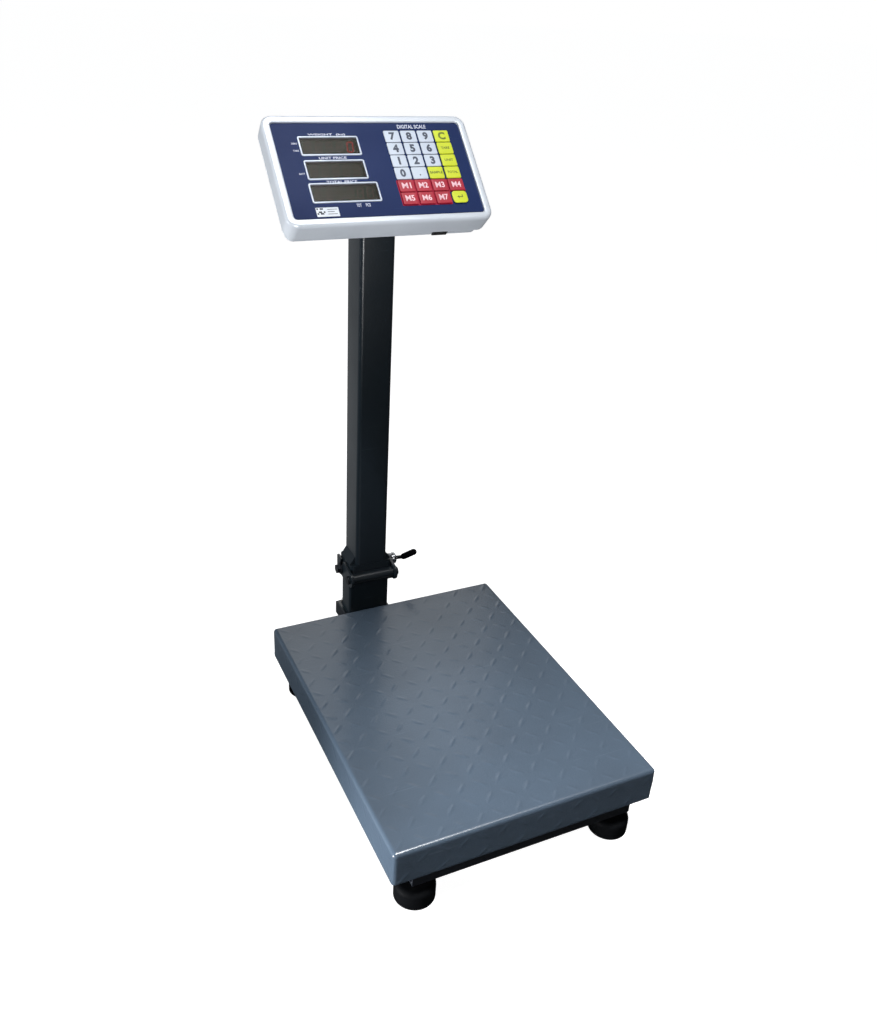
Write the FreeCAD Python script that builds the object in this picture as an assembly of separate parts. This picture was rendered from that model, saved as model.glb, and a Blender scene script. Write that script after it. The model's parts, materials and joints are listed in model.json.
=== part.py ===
import FreeCAD, Part
import math
import os

# Platform shipping scale: a tray on a load cell and a low frame, a fold-down column behind the
# tray, and a tilting indicator head.  Millimetres, +Z up, +X to the right of a person who stands
# in front of the tray, +Y towards the column.  It is drawn about the middle of the tray, at floor
# level, and moved at the end so that the origin is under the middle of the whole scale.

Vector = FreeCAD.Vector
X_AXIS = Vector(1, 0, 0)
Z_AXIS = Vector(0, 0, 1)

# ---------------------------------------------------------------- driving dimensions
# Tray
tray_width = 350.0
tray_depth = 450.0
tray_sheet = 3.0
tray_skirt = 47.0
tray_bend = 5.0
tray_edge = 4.5

# Feet
foot_inset_x = 40.0
foot_inset_y = 25.0
foot_diameter = 50.0
foot_pad_height = 25.0
foot_shoulder = 7.0
foot_chamfer = 1.5
foot_stud_diameter = 10.0
foot_stud_top_room = 7.5
foot_clear_height = 14.0

# Base frame
frame_tube_width = 40.0
frame_tube_height = 25.0
frame_tube_wall = 2.5
frame_overhang = 13.0
channel_width = 74.0
channel_height = 23.0
channel_wall = 4.0
tail_drop = 15.0
tail_rise = 6.0
tail_overlap = 30.0
tail_end_beyond_column = 34.0

# Load cell and load frame
cell_length = 130.0
cell_width = 30.0
cell_height = 30.0
cell_pad_length = 40.0
cell_pad_height = 6.0
cell_hole_radius = 9.5
cell_hole_spacing = 26.0
cell_slit = 6.0
cell_bolt_spacing = 20.0
cell_thread_spare = 3.0
rail_width = 20.0
rail_height = 12.0
rail_wall = 2.0
rail_spacing = 110.0
load_frame_inset_x = 25.0
load_frame_inset_y = 35.0
load_plate_thickness = 4.0
buffer_diameter = 20.0
buffer_height = 4.0
buffer_inset = 12.0
stop_spacing_x = 230.0
stop_gap = 0.8
stop_radius = 4.0

# Lower post and its flange
post_width = 66.0
post_depth = 34.0
post_wall = 3.0
post_height = 62.0
post_corner = 4.0
flange_width = 74.0
flange_depth = 56.0
flange_thickness = 5.0
flange_bolt_x = 26.0
flange_bolt_y = 22.5

# Column and its fold joint
column_setback = 56.0
column_size = 50.0
column_wall = 3.0
column_corner = 6.0
column_length = 508.0
cradle_plate = 4.0
cradle_cheek = 4.0
cradle_inside = 68.0
cradle_back = 26.0
pin_above_plate = 8.0
pin_before_column = 4.0
pin_radius = 4.0
pin_head_radius = 6.5
pin_head_length = 4.0
barrel_radius = 7.0
clamp_reach = 37.0
clamp_radius = 4.0
cheek_rise = 16.0
cheek_slope = 23.0
shoe_height = 28.0
shoe_spigot = 26.0
shoe_web_rise = 1.0
gusset_height = 13.0
washer_radius = 9.0
washer_thickness = 2.3

# Clamp lever
hub_radius = 9.0
hub_length = 13.0
hub_cap = 2.0
hub_edge = 2.0
arm_radius = 3.0
arm_start_out = 9.0
grip_start_out = 17.0
grip_start_ahead = 22.3
grip_start_up = 13.6
grip_end_out = 27.0
grip_end_ahead = 46.4
grip_end_up = 35.4
grip_radius = 5.0

# Tilt joint
yoke_plate = 4.0
yoke_ear = 4.0
yoke_ear_radius = 11.0
yoke_inside = 40.0
yoke_plug = 20.0
tilt_above_column = 20.0
tilt_bolt_radius = 4.0
lean_back = 45.0
tilt_below_centre = 20.8
tilt_behind_cover = 12.8
mount_plate = 3.0
mount_lug = 4.0
mount_length = 40.0
mount_lug_radius = 9.5
mount_screw_x = 10.0
mount_screw_v = 15.0

# Indicator head, measured across the panel (u), up the panel (v) and out of the panel (n)
panel_width = 256.0
panel_height = 136.0
panel_corner = 6.0
panel_sheet = 2.0
bezel_border_x = 10.5
bezel_border_y = 11.0
bezel_corner = 15.0
bezel_proud = 2.5
bezel_depth = 25.0
bezel_wall = 2.5
bezel_edge = 4.0
ledge_width = 10.0
ledge_thickness = 2.5
boss_radius = 4.0
boss_inset = 6.0
cover_depth = 17.0
cover_inset = 5.0
cover_wall = 2.5
cover_corner = 10.0
cover_edge = 3.0
case_screw_radius = 1.6
case_screw_grip = 10.0
pan_head_radius = 3.5
pan_head_height = 2.2

# Windows: centre u, centre v, width, height
window_height = 28.2
window_corner = 3.0
windows = [
    (-57.75, 34.6, 79.5),
    (-57.75, 0.4, 79.5),
    (-54.0, -32.0, 90.8),
]
window_trim = 2.3
window_trim_proud = 1.0
pane_proud = 0.25

# Keys
key_columns = 4
key_rows = 6
key_pitch_u = 23.3
key_pitch_v = 18.15
keypad_u = 63.5
keypad_v = 1.05
key_gap_u = 2.4
key_gap_v = 1.25
key_thickness = 1.6
key_lift = 0.8
key_travel = 0.6
key_corner = 1.6
enter_corner = 4.5
key_edge = 0.5
key_stem_inset = 1.95
key_flange_lip = 1.2
key_flange_thickness = 1.0
key_names = [
    ["key_7", "key_8", "key_9", "key_clear"],
    ["key_4", "key_5", "key_6", "key_tare"],
    ["key_1", "key_2", "key_3", "key_unit"],
    ["key_0", "key_point", "key_sample", "key_add"],
    ["key_m1", "key_m2", "key_m3", "key_m4"],
    ["key_m5", "key_m6", "key_m7", "key_enter"],
]

# Inside the head
board_thickness = 1.6
dome_radius = 3.5
dome_height = 3.1
board_post_radius = 3.0
front_board_inset_v = 12.0
front_board_edge = 2.0
front_post_inset_v = 28.0
display_depth = 8.4
module_height = 19.0
main_board_depth = 16.4
main_board_low = (14.0, -40.0)
main_board_high = (116.0, 52.0)
main_post_inset = 6.0
chip_places = [(40.0, 75.0, 0.0, 14.0), (84.0, 98.0, 8.0, 38.0)]
chip_height = 4.0
capacitor_places = [(34.0, 30.0), (34.0, -18.0)]
capacitor_radius = 6.0
capacitor_height = 14.0
battery_size = (52.0, 97.0, 24.0)
battery_u = -92.0
tab_size = (4.8, 0.8, 12.0)
transformer_size = (38.0, 40.0, 26.0)
transformer_u = -31.0
transformer_v = 32.0
coil_size = (22.8, 28.0)
coil_corner = 3.0
core_inset = 3.0
bracket_width = 12.0
bracket_sheet = 1.5
bracket_reach = 5.0

# Power switch and cable glands
switch_u = 75.0
switch_width = 19.0
switch_height = 12.4
switch_length = 18.0
switch_flange = 1.0
switch_flange_thickness = 2.0
rocker_radius = 7.3
rocker_half_angle = 8.0
rocker_wall = 1.8
rocker_sunk = 4.0
rocker_face = 5.25
gland_mains = (60.0, -45.0)
gland_cell = (-42.0, -45.0)
gland_bore = 3.25
gland_shank = 6.0
gland_across_flats = 15.0
gland_hex = 5.0
gland_dome = 11.0
gland_dome_foot = 6.8
gland_dome_tip = 5.0
gland_nut = 4.0
gland_tail = 6.0

# Clearances
running_clearance = 0.06
side_gap = 0.4
seat_gap = 0.3
panel_gap = 0.2
key_gap = 0.3
flange_gap = 0.2
thread_clearance = 0.08
module_gap = 0.6
dome_gap = 0.1
rod_tip_gap = 1.0
bolt_past_nut = 2.0
cut_past = 1.0
same_place = 0.0001

# Hexagons: across flats, and the height of a head or a nut, by thread
M3_flats = 5.5
M3_nut = 2.4
M6_flats = 10.0
M6_head = 4.0
M6_nut = 5.0
M6_radius = 3.0
M8_flats = 13.0
M8_head = 5.3
M8_nut = 6.5
M10_flats = 17.0
M10_nut = 8.0

# ---------------------------------------------------------------- places worked out from them
tray_x = tray_width / 2
tray_front = -tray_depth / 2
foot_x = tray_x - foot_inset_x
foot_y = tray_depth / 2 - foot_inset_y
frame_bottom = foot_pad_height + foot_clear_height
frame_top = frame_bottom + frame_tube_height
frame_x = foot_x + frame_overhang
cross_inner_y = foot_y - frame_tube_width / 2
cross_outer_y = foot_y + frame_tube_width / 2
cell_bottom = frame_bottom + channel_wall + cell_pad_height
cell_top = cell_bottom + cell_height
load_frame_bottom = cell_top + cell_pad_height
load_frame_top = load_frame_bottom + rail_height
load_frame_x = tray_x - load_frame_inset_x
load_cross_y = tray_depth / 2 - load_frame_inset_y
tray_under = load_frame_top + buffer_height
tray_top = tray_under + tray_sheet
column_front = tray_depth / 2 + column_setback
column_y = column_front + column_size / 2
tail_bottom = frame_bottom - tail_drop
tail_top = frame_bottom + tail_rise
tail_front = cross_inner_y - tail_overlap
tail_back = column_y + tail_end_beyond_column
flange_top = tail_top + flange_thickness
post_top = flange_top + post_height
cradle_top = post_top + cradle_plate
hinge_z = cradle_top + pin_above_plate
hinge_y = column_front - pin_before_column
clamp_y = hinge_y + clamp_reach
cradle_back_y = column_y + cradle_back
cradle_outside = cradle_inside / 2 + cradle_cheek
shoe_bottom = cradle_top + seat_gap
shoe_top = shoe_bottom + shoe_height
shoe_half = cradle_inside / 2 - side_gap
column_top = shoe_top + column_length
tilt_z = column_top + tilt_above_column
cover_back = bezel_depth + cover_depth
tilt_n = -(cover_back + tilt_behind_cover)
lean = math.radians(lean_back)
head_y = column_y + tilt_below_centre * math.cos(lean) + tilt_n * math.sin(lean)
head_z = tilt_z + tilt_below_centre * math.sin(lean) - tilt_n * math.cos(lean)
bezel_width = panel_width + 2 * bezel_border_x
bezel_height = panel_height + 2 * bezel_border_y
cover_width = bezel_width - 2 * (bezel_wall + cover_inset)
cover_height = bezel_height - 2 * (bezel_wall + cover_inset)
cover_floor = -(cover_back - cover_wall)
boss_u = panel_width / 2 - boss_inset
boss_v = panel_height / 2 - boss_inset
key_width = key_pitch_u - key_gap_u
key_height = key_pitch_v - key_gap_v
stem_width = key_width - 2 * key_stem_inset
stem_height = key_height - 2 * key_stem_inset
key_flange_top = -(panel_sheet + flange_gap)
switch_n = -(bezel_depth + (cover_depth - cover_wall) / 2)
head_rear_y = head_y + cover_height / 2 * math.cos(lean) + cover_back * math.sin(lean)
origin_y = (tray_front + head_rear_y) / 2


# ---------------------------------------------------------------- shapes used more than once
def block(x0, x1, y0, y1, z0, z1):
    """A box between two corners."""
    return Part.makeBox(x1 - x0, y1 - y0, z1 - z0, Vector(x0, y0, z0))


def rod(radius, length, start, direction):
    """A round bar."""
    return Part.makeCylinder(radius, length, start, direction)


def joined(shapes):
    """One solid from shapes that touch or overlap."""
    whole = shapes[0].multiFuse(shapes[1:])
    return whole.removeSplitter()


def rounded_outline(width, height, corner, z):
    """A wire round a rectangle with round corners, centred on the Z axis."""
    x = width / 2
    y = height / 2
    r = corner
    d = r * (1 - math.sqrt(0.5))
    edges = []
    corners = [(1, -1), (1, 1), (-1, 1), (-1, -1)]
    for index, (sx, sy) in enumerate(corners):
        across = Vector(sx * x, sy * (y - r), z)
        along = Vector(sx * (x - r), sy * y, z)
        middle = Vector(sx * (x - d), sy * (y - d), z)
        first, last = (along, across) if sx * sy < 0 else (across, along)
        edges.append(Part.Arc(first, middle, last).toShape())
        nx, ny = corners[(index + 1) % 4]
        if nx == sx:
            following = Vector(nx * x, ny * (y - r), z)
        else:
            following = Vector(nx * (x - r), ny * y, z)
        edges.append(Part.makeLine(last, following))
    return Part.Wire(edges)


def rounded_plate(width, height, corner, z0, z1):
    """A plate with round corners, centred on the Z axis, from z0 to z1."""
    face = Part.Face(rounded_outline(width, height, corner, z0))
    return face.extrude(Vector(0, 0, z1 - z0))


def moved(shape, x, y, z=0.0):
    """A copy of a shape, shifted."""
    copy = shape.copy()
    copy.translate(Vector(x, y, z))
    return copy


def hexagon(across_flats, height, centre, direction=Z_AXIS):
    """A hexagonal prism that stands on centre and points along direction."""
    radius = across_flats / math.sqrt(3)
    points = []
    for step in range(7):
        turn = math.radians(60 * step)
        points.append(Vector(radius * math.cos(turn), radius * math.sin(turn), 0))
    prism = Part.Face(Part.makePolygon(points)).extrude(Vector(0, 0, height))
    prism.Placement = FreeCAD.Placement(centre, FreeCAD.Rotation(Z_AXIS, direction))
    return prism


def side_plate(points, x0, x1):
    """A flat plate whose outline is given in (y, z), from x0 to x1."""
    wire = Part.makePolygon([Vector(x0, y, z) for y, z in points + points[:1]])
    return Part.Face(wire).extrude(Vector(x1 - x0, 0, 0))


def box_tube(x0, x1, y0, y1, z0, z1, wall, along):
    """A rectangular tube with open ends; along is the letter of its length."""
    outer = block(x0, x1, y0, y1, z0, z1)
    cut = [x0 + wall, x1 - wall, y0 + wall, y1 - wall, z0 + wall, z1 - wall]
    if along == "x":
        cut[0], cut[1] = x0 - wall, x1 + wall
    else:
        cut[2], cut[3] = y0 - wall, y1 + wall
    return outer.cut(block(*cut))


def edges_at(shape, place, axis="Z"):
    """The edges of a shape that lie flat at one place along an axis."""
    found = []
    for edge in shape.Edges:
        low = getattr(edge.BoundBox, axis + "Min")
        high = getattr(edge.BoundBox, axis + "Max")
        if abs(low - place) < same_place and abs(high - place) < same_place:
            found.append(edge)
    return found


def on_head(shape):
    """A shape drawn on the panel (u, v, n), placed where the head leans back."""
    placed = shape.copy()
    turn = FreeCAD.Placement(Vector(0, head_y, head_z), FreeCAD.Rotation(X_AXIS, lean_back))
    placed.Placement = turn.multiply(placed.Placement)
    return placed


def four_corners(x, y):
    """The four places (+-x, +-y)."""
    return [(sx * x, sy * y) for sx in (-1, 1) for sy in (-1, 1)]


# ---------------------------------------------------------------- base
def cross_tube(y):
    """One cross tube of the base frame, bored for two feet and two overload stops."""
    half = frame_tube_width / 2
    sides = (-frame_x, frame_x, y - half, y + half, frame_bottom, frame_top)
    tube = box_tube(*sides, frame_tube_wall, "x")
    stop_y = math.copysign(load_cross_y, y)
    stud_hole = foot_stud_diameter / 2 + thread_clearance
    length = frame_tube_wall + 2 * cut_past
    for side in (-1, 1):
        start = Vector(side * foot_x, y, frame_bottom - cut_past)
        tube = tube.cut(rod(stud_hole, length, start, Z_AXIS))
        start = Vector(side * stop_spacing_x / 2, stop_y, frame_top - frame_tube_wall - cut_past)
        tube = tube.cut(rod(stop_radius, length, start, Z_AXIS))
    return tube


def tail():
    """The channel, open below, that runs back under the tray to carry the column."""
    half = channel_width / 2
    inner = half - channel_wall
    low = block(-half, half, tail_front, cross_outer_y, tail_bottom, frame_bottom)
    high = block(-half, half, cross_outer_y, tail_back, tail_bottom, tail_top)
    low_room = block(-inner, inner, tail_front - cut_past, cross_outer_y - channel_wall,
                     tail_bottom - cut_past, frame_bottom - channel_wall)
    high_room = block(-inner, inner, cross_outer_y - channel_wall, tail_back - channel_wall,
                      tail_bottom - cut_past, tail_top - channel_wall)
    return low.fuse(high).cut(low_room.fuse(high_room))


def base_frame():
    """Two cross tubes, the channel that holds the load cell, and the tail, welded into one."""
    half = channel_width / 2
    inner = half - channel_wall
    top = frame_bottom + channel_height
    channel = block(-half, half, -cross_inner_y, cross_inner_y, frame_bottom, top)
    room = block(-inner, inner, -cross_inner_y - cut_past, cross_inner_y + cut_past,
                 frame_bottom + channel_wall, top + cut_past)
    channel = channel.cut(room)
    pad = block(-cell_width / 2, cell_width / 2, -cell_length / 2,
                -cell_length / 2 + cell_pad_length, frame_bottom + channel_wall, cell_bottom)
    frame = joined([cross_tube(-foot_y), cross_tube(foot_y), channel, pad, tail()])
    for y in cell_bolt_places(-1):
        start = Vector(0, y, frame_bottom - cut_past)
        length = cell_bottom - frame_bottom + 2 * cut_past
        frame = frame.cut(rod(M6_radius, length, start, Z_AXIS))
    for x, y in four_corners(flange_bolt_x, flange_bolt_y):
        start = Vector(x, column_y + y, tail_top - channel_wall - cut_past)
        frame = frame.cut(rod(M6_radius, channel_wall + 2 * cut_past, start, Z_AXIS))
    return frame


def cell_bolt_places(side):
    """The y of the two bolts at the fixed (-1) or the live (+1) end of the load cell."""
    middle = side * (cell_length / 2 - cell_pad_length / 2)
    return [middle - cell_bolt_spacing / 2, middle + cell_bolt_spacing / 2]


def load_cell():
    """A single-point cell: a bar with two joined round holes that make its bending beams."""
    half = cell_length / 2
    middle = (cell_bottom + cell_top) / 2
    bar = block(-cell_width / 2, cell_width / 2, -half, half, cell_bottom, cell_top)
    for side in (-1, 1):
        start = Vector(-cell_width, side * cell_hole_spacing / 2, middle)
        bar = bar.cut(rod(cell_hole_radius, 2 * cell_width, start, X_AXIS))
    slit = block(-cell_width, cell_width, -cell_hole_spacing / 2, cell_hole_spacing / 2,
                 middle - cell_slit / 2, middle + cell_slit / 2)
    bar = bar.cut(slit)
    depth = cell_height / 2
    for y in cell_bolt_places(-1):
        bar = bar.cut(rod(M6_radius, depth, Vector(0, y, cell_bottom), Z_AXIS))
    for y in cell_bolt_places(1):
        bar = bar.cut(rod(M6_radius, depth, Vector(0, y, cell_top), -Z_AXIS))
    return bar


def load_frame():
    """Two rails and two cross tubes that spread the load cell's live end under the tray."""
    half = rail_width / 2
    pieces = []
    for side in (-1, 1):
        x = side * rail_spacing / 2
        rail = box_tube(x - half, x + half, -load_cross_y + half, load_cross_y - half,
                        load_frame_bottom, load_frame_top, rail_wall, "y")
        pieces.append(rail)
        y = side * load_cross_y
        cross = box_tube(-load_frame_x, load_frame_x, y - half, y + half,
                         load_frame_bottom, load_frame_top, rail_wall, "x")
        pieces.append(cross)
    plate_x = rail_spacing / 2 - half
    plate = block(-plate_x, plate_x, -cell_length / 2, cell_length / 2,
                  load_frame_bottom, load_frame_bottom + load_plate_thickness)
    pad = block(-cell_width / 2, cell_width / 2, cell_length / 2 - cell_pad_length,
                cell_length / 2, cell_top, load_frame_bottom)
    frame = joined(pieces + [plate, pad])
    for y in cell_bolt_places(1):
        start = Vector(0, y, cell_top - cut_past)
        length = cell_pad_height + load_plate_thickness + 2 * cut_past
        frame = frame.cut(rod(M6_radius, length, start, Z_AXIS))
    return frame


def tray_buffers():
    """Four rubber discs on the load frame's ends; the tray rests on them."""
    discs = []
    for x, y in four_corners(load_frame_x - buffer_inset, load_cross_y):
        discs.append(rod(buffer_diameter / 2, buffer_height, Vector(x, y, load_frame_top), Z_AXIS))
    return discs


def overload_stops():
    """Four set screws with nuts; the load frame meets them before the cell is overloaded."""
    stops = []
    tip = load_frame_bottom - stop_gap
    foot = frame_top - 2 * frame_tube_wall
    for x, y in four_corners(stop_spacing_x / 2, load_cross_y):
        screw = rod(stop_radius, tip - foot, Vector(x, y, foot), Z_AXIS)
        nut = hexagon(M8_flats, M8_nut, Vector(x, y, frame_top))
        stops.append(joined([screw, nut]))
    return stops


def hex_screw(x, y, seat, reach, up):
    """An M6 screw with its head on seat; up is +1 where the head is above its shank."""
    direction = Vector(0, 0, up)
    head = hexagon(M6_flats, M6_head, Vector(x, y, seat), direction)
    shank = rod(M6_radius, reach, Vector(x, y, seat), -direction)
    return joined([head, shank])


def base_fasteners():
    """The load cell's screws, the post's bolts and nuts, and the feet's lock nuts."""
    pieces = []
    depth = cell_height / 2 - cell_thread_spare
    reach = cell_bottom - frame_bottom + depth
    for y in cell_bolt_places(-1):
        pieces.append(hex_screw(0, y, frame_bottom, reach, -1))
    seat = load_frame_bottom + load_plate_thickness
    for y in cell_bolt_places(1):
        pieces.append(hex_screw(0, y, seat, seat - cell_top + depth, 1))
    reach = flange_thickness + channel_wall + M6_nut + bolt_past_nut
    for x, y in four_corners(flange_bolt_x, flange_bolt_y):
        bolt = hex_screw(x, column_y + y, flange_top, reach, 1)
        nut = hexagon(M6_flats, M6_nut, Vector(x, column_y + y, tail_top - channel_wall), -Z_AXIS)
        pieces.append(joined([bolt, nut]))
    for x, y in four_corners(foot_x, foot_y):
        nut = hexagon(M10_flats, M10_nut, Vector(x, y, frame_bottom - M10_nut))
        start = Vector(x, y, frame_bottom - M10_nut - cut_past)
        bore = foot_stud_diameter / 2 + thread_clearance
        hole = rod(bore, M10_nut + 2 * cut_past, start, Z_AXIS)
        pieces.append(nut.cut(hole))
    return pieces


def foot(x, y):
    """A levelling foot: a round pad with a rolled shoulder, and its threaded stud."""
    pad = rod(foot_diameter / 2, foot_pad_height, Vector(x, y, 0), Z_AXIS)
    pad = pad.makeFillet(foot_shoulder, edges_at(pad, foot_pad_height))
    pad = pad.makeChamfer(foot_chamfer, edges_at(pad, 0.0))
    seat = foot_pad_height / 2
    radius = foot_stud_diameter / 2
    tip = frame_top - frame_tube_wall - foot_stud_top_room
    stud = rod(radius, tip - seat, Vector(x, y, seat), Z_AXIS)
    return [pad.cut(rod(radius, foot_pad_height, Vector(x, y, seat), Z_AXIS)), stud]


def tray():
    """The folded tray: one sheet with its four skirts turned down and welded at the corners."""
    bottom = tray_top - tray_skirt
    shell = rounded_plate(tray_width, tray_depth, tray_bend, bottom, tray_top)
    shell = shell.makeFillet(tray_edge, edges_at(shell, tray_top))
    inner_bend = tray_bend - tray_sheet
    room = rounded_plate(tray_width - 2 * tray_sheet, tray_depth - 2 * tray_sheet, inner_bend,
                         bottom - cut_past, tray_under)
    return shell.cut(room)


# ---------------------------------------------------------------- lower post and fold joint
def lower_post():
    """The short post and its bolted flange."""
    inner_x = post_width - 2 * post_wall
    inner_y = post_depth - 2 * post_wall
    outer = rounded_plate(post_width, post_depth, post_corner, flange_top, post_top)
    inner = rounded_plate(inner_x, inner_y, post_corner - post_wall, flange_top - cut_past,
                          post_top + cut_past)
    flange = rounded_plate(flange_width, flange_depth, post_corner, tail_top, flange_top)
    post = joined([outer.cut(inner), flange])
    post.translate(Vector(0, column_y, 0))
    for x, y in four_corners(flange_bolt_x, flange_bolt_y):
        start = Vector(x, column_y + y, tail_top - cut_past)
        post = post.cut(rod(M6_radius, flange_thickness + 2 * cut_past, start, Z_AXIS))
    return post


def clamp_slot(x0, x1):
    """The slot that the clamp rod leaves as the column folds: an arc about the hinge pin."""
    half = clamp_radius + seat_gap
    outer = rod(clamp_reach + half, x1 - x0, Vector(x0, hinge_y, hinge_z), X_AXIS)
    inner = rod(clamp_reach - half, x1 - x0, Vector(x0, hinge_y, hinge_z), X_AXIS)
    far = hinge_y + 2 * clamp_reach
    up = hinge_z + 2 * clamp_reach
    ring = outer.cut(inner)
    ring = ring.common(block(x0, x1, hinge_y, far, hinge_z, up))
    end = rod(half, x1 - x0, Vector(x0, clamp_y, hinge_z), X_AXIS)
    return ring.fuse(end)


def hinge_cradle():
    """The plate on the post and the two cheeks that hold the hinge pin and the clamp rod."""
    end_radius = pin_above_plate + cradle_plate
    inside = cradle_inside / 2
    top = hinge_z + cheek_rise
    outline = [
        (hinge_y, post_top),
        (cradle_back_y, post_top),
        (cradle_back_y, top),
        (hinge_y + cheek_slope, top),
        (hinge_y, hinge_z + end_radius),
    ]
    plate = block(-inside, inside, hinge_y, cradle_back_y, post_top, cradle_top)
    pieces = [plate]
    for x0 in (-cradle_outside, inside):
        x1 = x0 + cradle_cheek
        cheek = side_plate(outline, x0, x1)
        nose = rod(end_radius, cradle_cheek, Vector(x0, hinge_y, hinge_z), X_AXIS)
        cheek = cheek.fuse(nose)
        start = Vector(x0 - cut_past, hinge_y, hinge_z)
        hole = rod(pin_radius, cradle_cheek + 2 * cut_past, start, X_AXIS)
        cheek = cheek.cut(hole)
        pieces.append(cheek.cut(clamp_slot(x0 - cut_past, x1 + cut_past)))
    return joined(pieces)


def hinge_pin():
    """The pin through both cheeks, with a head at each end."""
    reach = cradle_outside
    pin = rod(pin_radius, 2 * reach, Vector(-reach, hinge_y, hinge_z), X_AXIS)
    left = rod(pin_head_radius, pin_head_length, Vector(-reach, hinge_y, hinge_z), -X_AXIS)
    right = rod(pin_head_radius, pin_head_length, Vector(reach, hinge_y, hinge_z), X_AXIS)
    return joined([pin, left, right])


# ---------------------------------------------------------------- column
def column_shoe():
    """The column's foot: hinge barrel, clamp boss, side gussets and the spigot for the tube."""
    back = column_front + column_size
    body = rounded_plate(2 * shoe_half, column_size, column_corner, shoe_bottom, shoe_top)
    body = moved(body, 0, column_y)
    barrel = rod(barrel_radius, 2 * shoe_half, Vector(-shoe_half, hinge_y, hinge_z), X_AXIS)
    web = block(-shoe_half, shoe_half, hinge_y, column_front + column_corner,
                shoe_bottom + shoe_web_rise, hinge_z + barrel_radius)
    inner = column_size - 2 * column_wall - 2 * thread_clearance
    spigot = rounded_plate(inner, inner, column_corner - column_wall, shoe_top,
                           shoe_top + shoe_spigot)
    pieces = [body, barrel, web, moved(spigot, 0, column_y)]
    for side in (-1, 1):
        near = side * (column_size / 2 + thread_clearance)
        points = [Vector(near, column_front + column_corner, shoe_top)]
        points.append(Vector(side * shoe_half, column_front + column_corner, shoe_top))
        points.append(Vector(near, column_front + column_corner, shoe_top + gusset_height))
        wedge = Part.Face(Part.makePolygon(points + points[:1]))
        pieces.append(wedge.extrude(Vector(0, back - column_front - 2 * column_corner, 0)))
    shoe = joined(pieces)
    pin_hole = rod(pin_radius + running_clearance, 4 * shoe_half,
                   Vector(-2 * shoe_half, hinge_y, hinge_z), X_AXIS)
    rod_hole = rod(clamp_radius, 4 * shoe_half, Vector(-2 * shoe_half, clamp_y, hinge_z), X_AXIS)
    return shoe.cut(pin_hole).cut(rod_hole)


def column_tube():
    """The square tube."""
    outer = rounded_plate(column_size, column_size, column_corner, shoe_top, column_top)
    inner_size = column_size - 2 * column_wall
    inner = rounded_plate(inner_size, inner_size, column_corner - column_wall,
                          shoe_top - cut_past, column_top + cut_past)
    return moved(outer.cut(inner), 0, column_y)


def clamp_rod():
    """The clamp rod with its hexagon head and the two washers that bear on the cheeks."""
    outside = cradle_outside + seat_gap
    left = -(outside + washer_thickness)
    right = outside + washer_thickness + hub_length - hub_cap - rod_tip_gap
    shank = rod(clamp_radius, right - left, Vector(left, clamp_y, hinge_z), X_AXIS)
    washers = []
    for x in (left, outside):
        washers.append(rod(washer_radius, washer_thickness, Vector(x, clamp_y, hinge_z), X_AXIS))
    head = hexagon(M8_flats, M8_head, Vector(left, clamp_y, hinge_z), -X_AXIS)
    return joined([shank, head] + washers)


def lever_points():
    """Where the lever's arm starts, where its grip starts and where its grip ends."""
    inner = cradle_outside + seat_gap + washer_thickness
    root = Vector(inner + arm_start_out, clamp_y, hinge_z)
    start = Vector(inner + grip_start_out, clamp_y - grip_start_ahead, hinge_z + grip_start_up)
    end = Vector(inner + grip_end_out, clamp_y - grip_end_ahead, hinge_z + grip_end_up)
    return root, start, end


def clamp_lever():
    """The lever's hub on the clamp rod, and its bent round arm."""
    inner = cradle_outside + seat_gap + washer_thickness
    face = inner + running_clearance
    hub = rod(hub_radius, hub_length, Vector(face, clamp_y, hinge_z), X_AXIS)
    hub = hub.makeFillet(hub_edge, edges_at(hub, face + hub_length, "X"))
    root, start, end = lever_points()
    first = rod(arm_radius, (start - root).Length, root, start - root)
    elbow = Part.makeSphere(arm_radius, start)
    second = rod(arm_radius, (end - start).Length - grip_radius, start, end - start)
    lever = joined([hub, first, elbow, second])
    bore = rod(clamp_radius + running_clearance, hub_length - hub_cap,
               Vector(face, clamp_y, hinge_z), X_AXIS)
    return lever.cut(bore)


def lever_grip():
    """The grip sleeve, round at its end, bored for the arm."""
    start, end = lever_points()[1:]
    along = end - start
    sleeve = rod(grip_radius, along.Length - grip_radius, start, along)
    unit = Vector(along).normalize()
    tip = Part.makeSphere(grip_radius, end - unit * grip_radius)
    grip = joined([sleeve, tip])
    grip = grip.cut(rod(arm_radius, along.Length - grip_radius, start, along))
    return grip.cut(Part.makeSphere(arm_radius, start))


def tilt_yoke():
    """The plug in the column's top, its plate, and the two ears of the tilt joint."""
    inner = column_size - 2 * column_wall - 2 * thread_clearance
    plug = rounded_plate(inner, inner, column_corner - column_wall, column_top - yoke_plug,
                         column_top)
    plate = rounded_plate(column_size, column_size, column_corner, column_top,
                          column_top + yoke_plate)
    pieces = [moved(plug, 0, column_y), moved(plate, 0, column_y)]
    for x0 in (-yoke_inside / 2 - yoke_ear, yoke_inside / 2):
        ear = block(x0, x0 + yoke_ear, column_y - yoke_ear_radius, column_y + yoke_ear_radius,
                    column_top, tilt_z)
        pieces.append(ear)
        pieces.append(rod(yoke_ear_radius, yoke_ear, Vector(x0, column_y, tilt_z), X_AXIS))
    yoke = joined(pieces)
    start = Vector(-yoke_inside, column_y, tilt_z)
    return yoke.cut(rod(tilt_bolt_radius, 2 * yoke_inside, start, X_AXIS))


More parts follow.
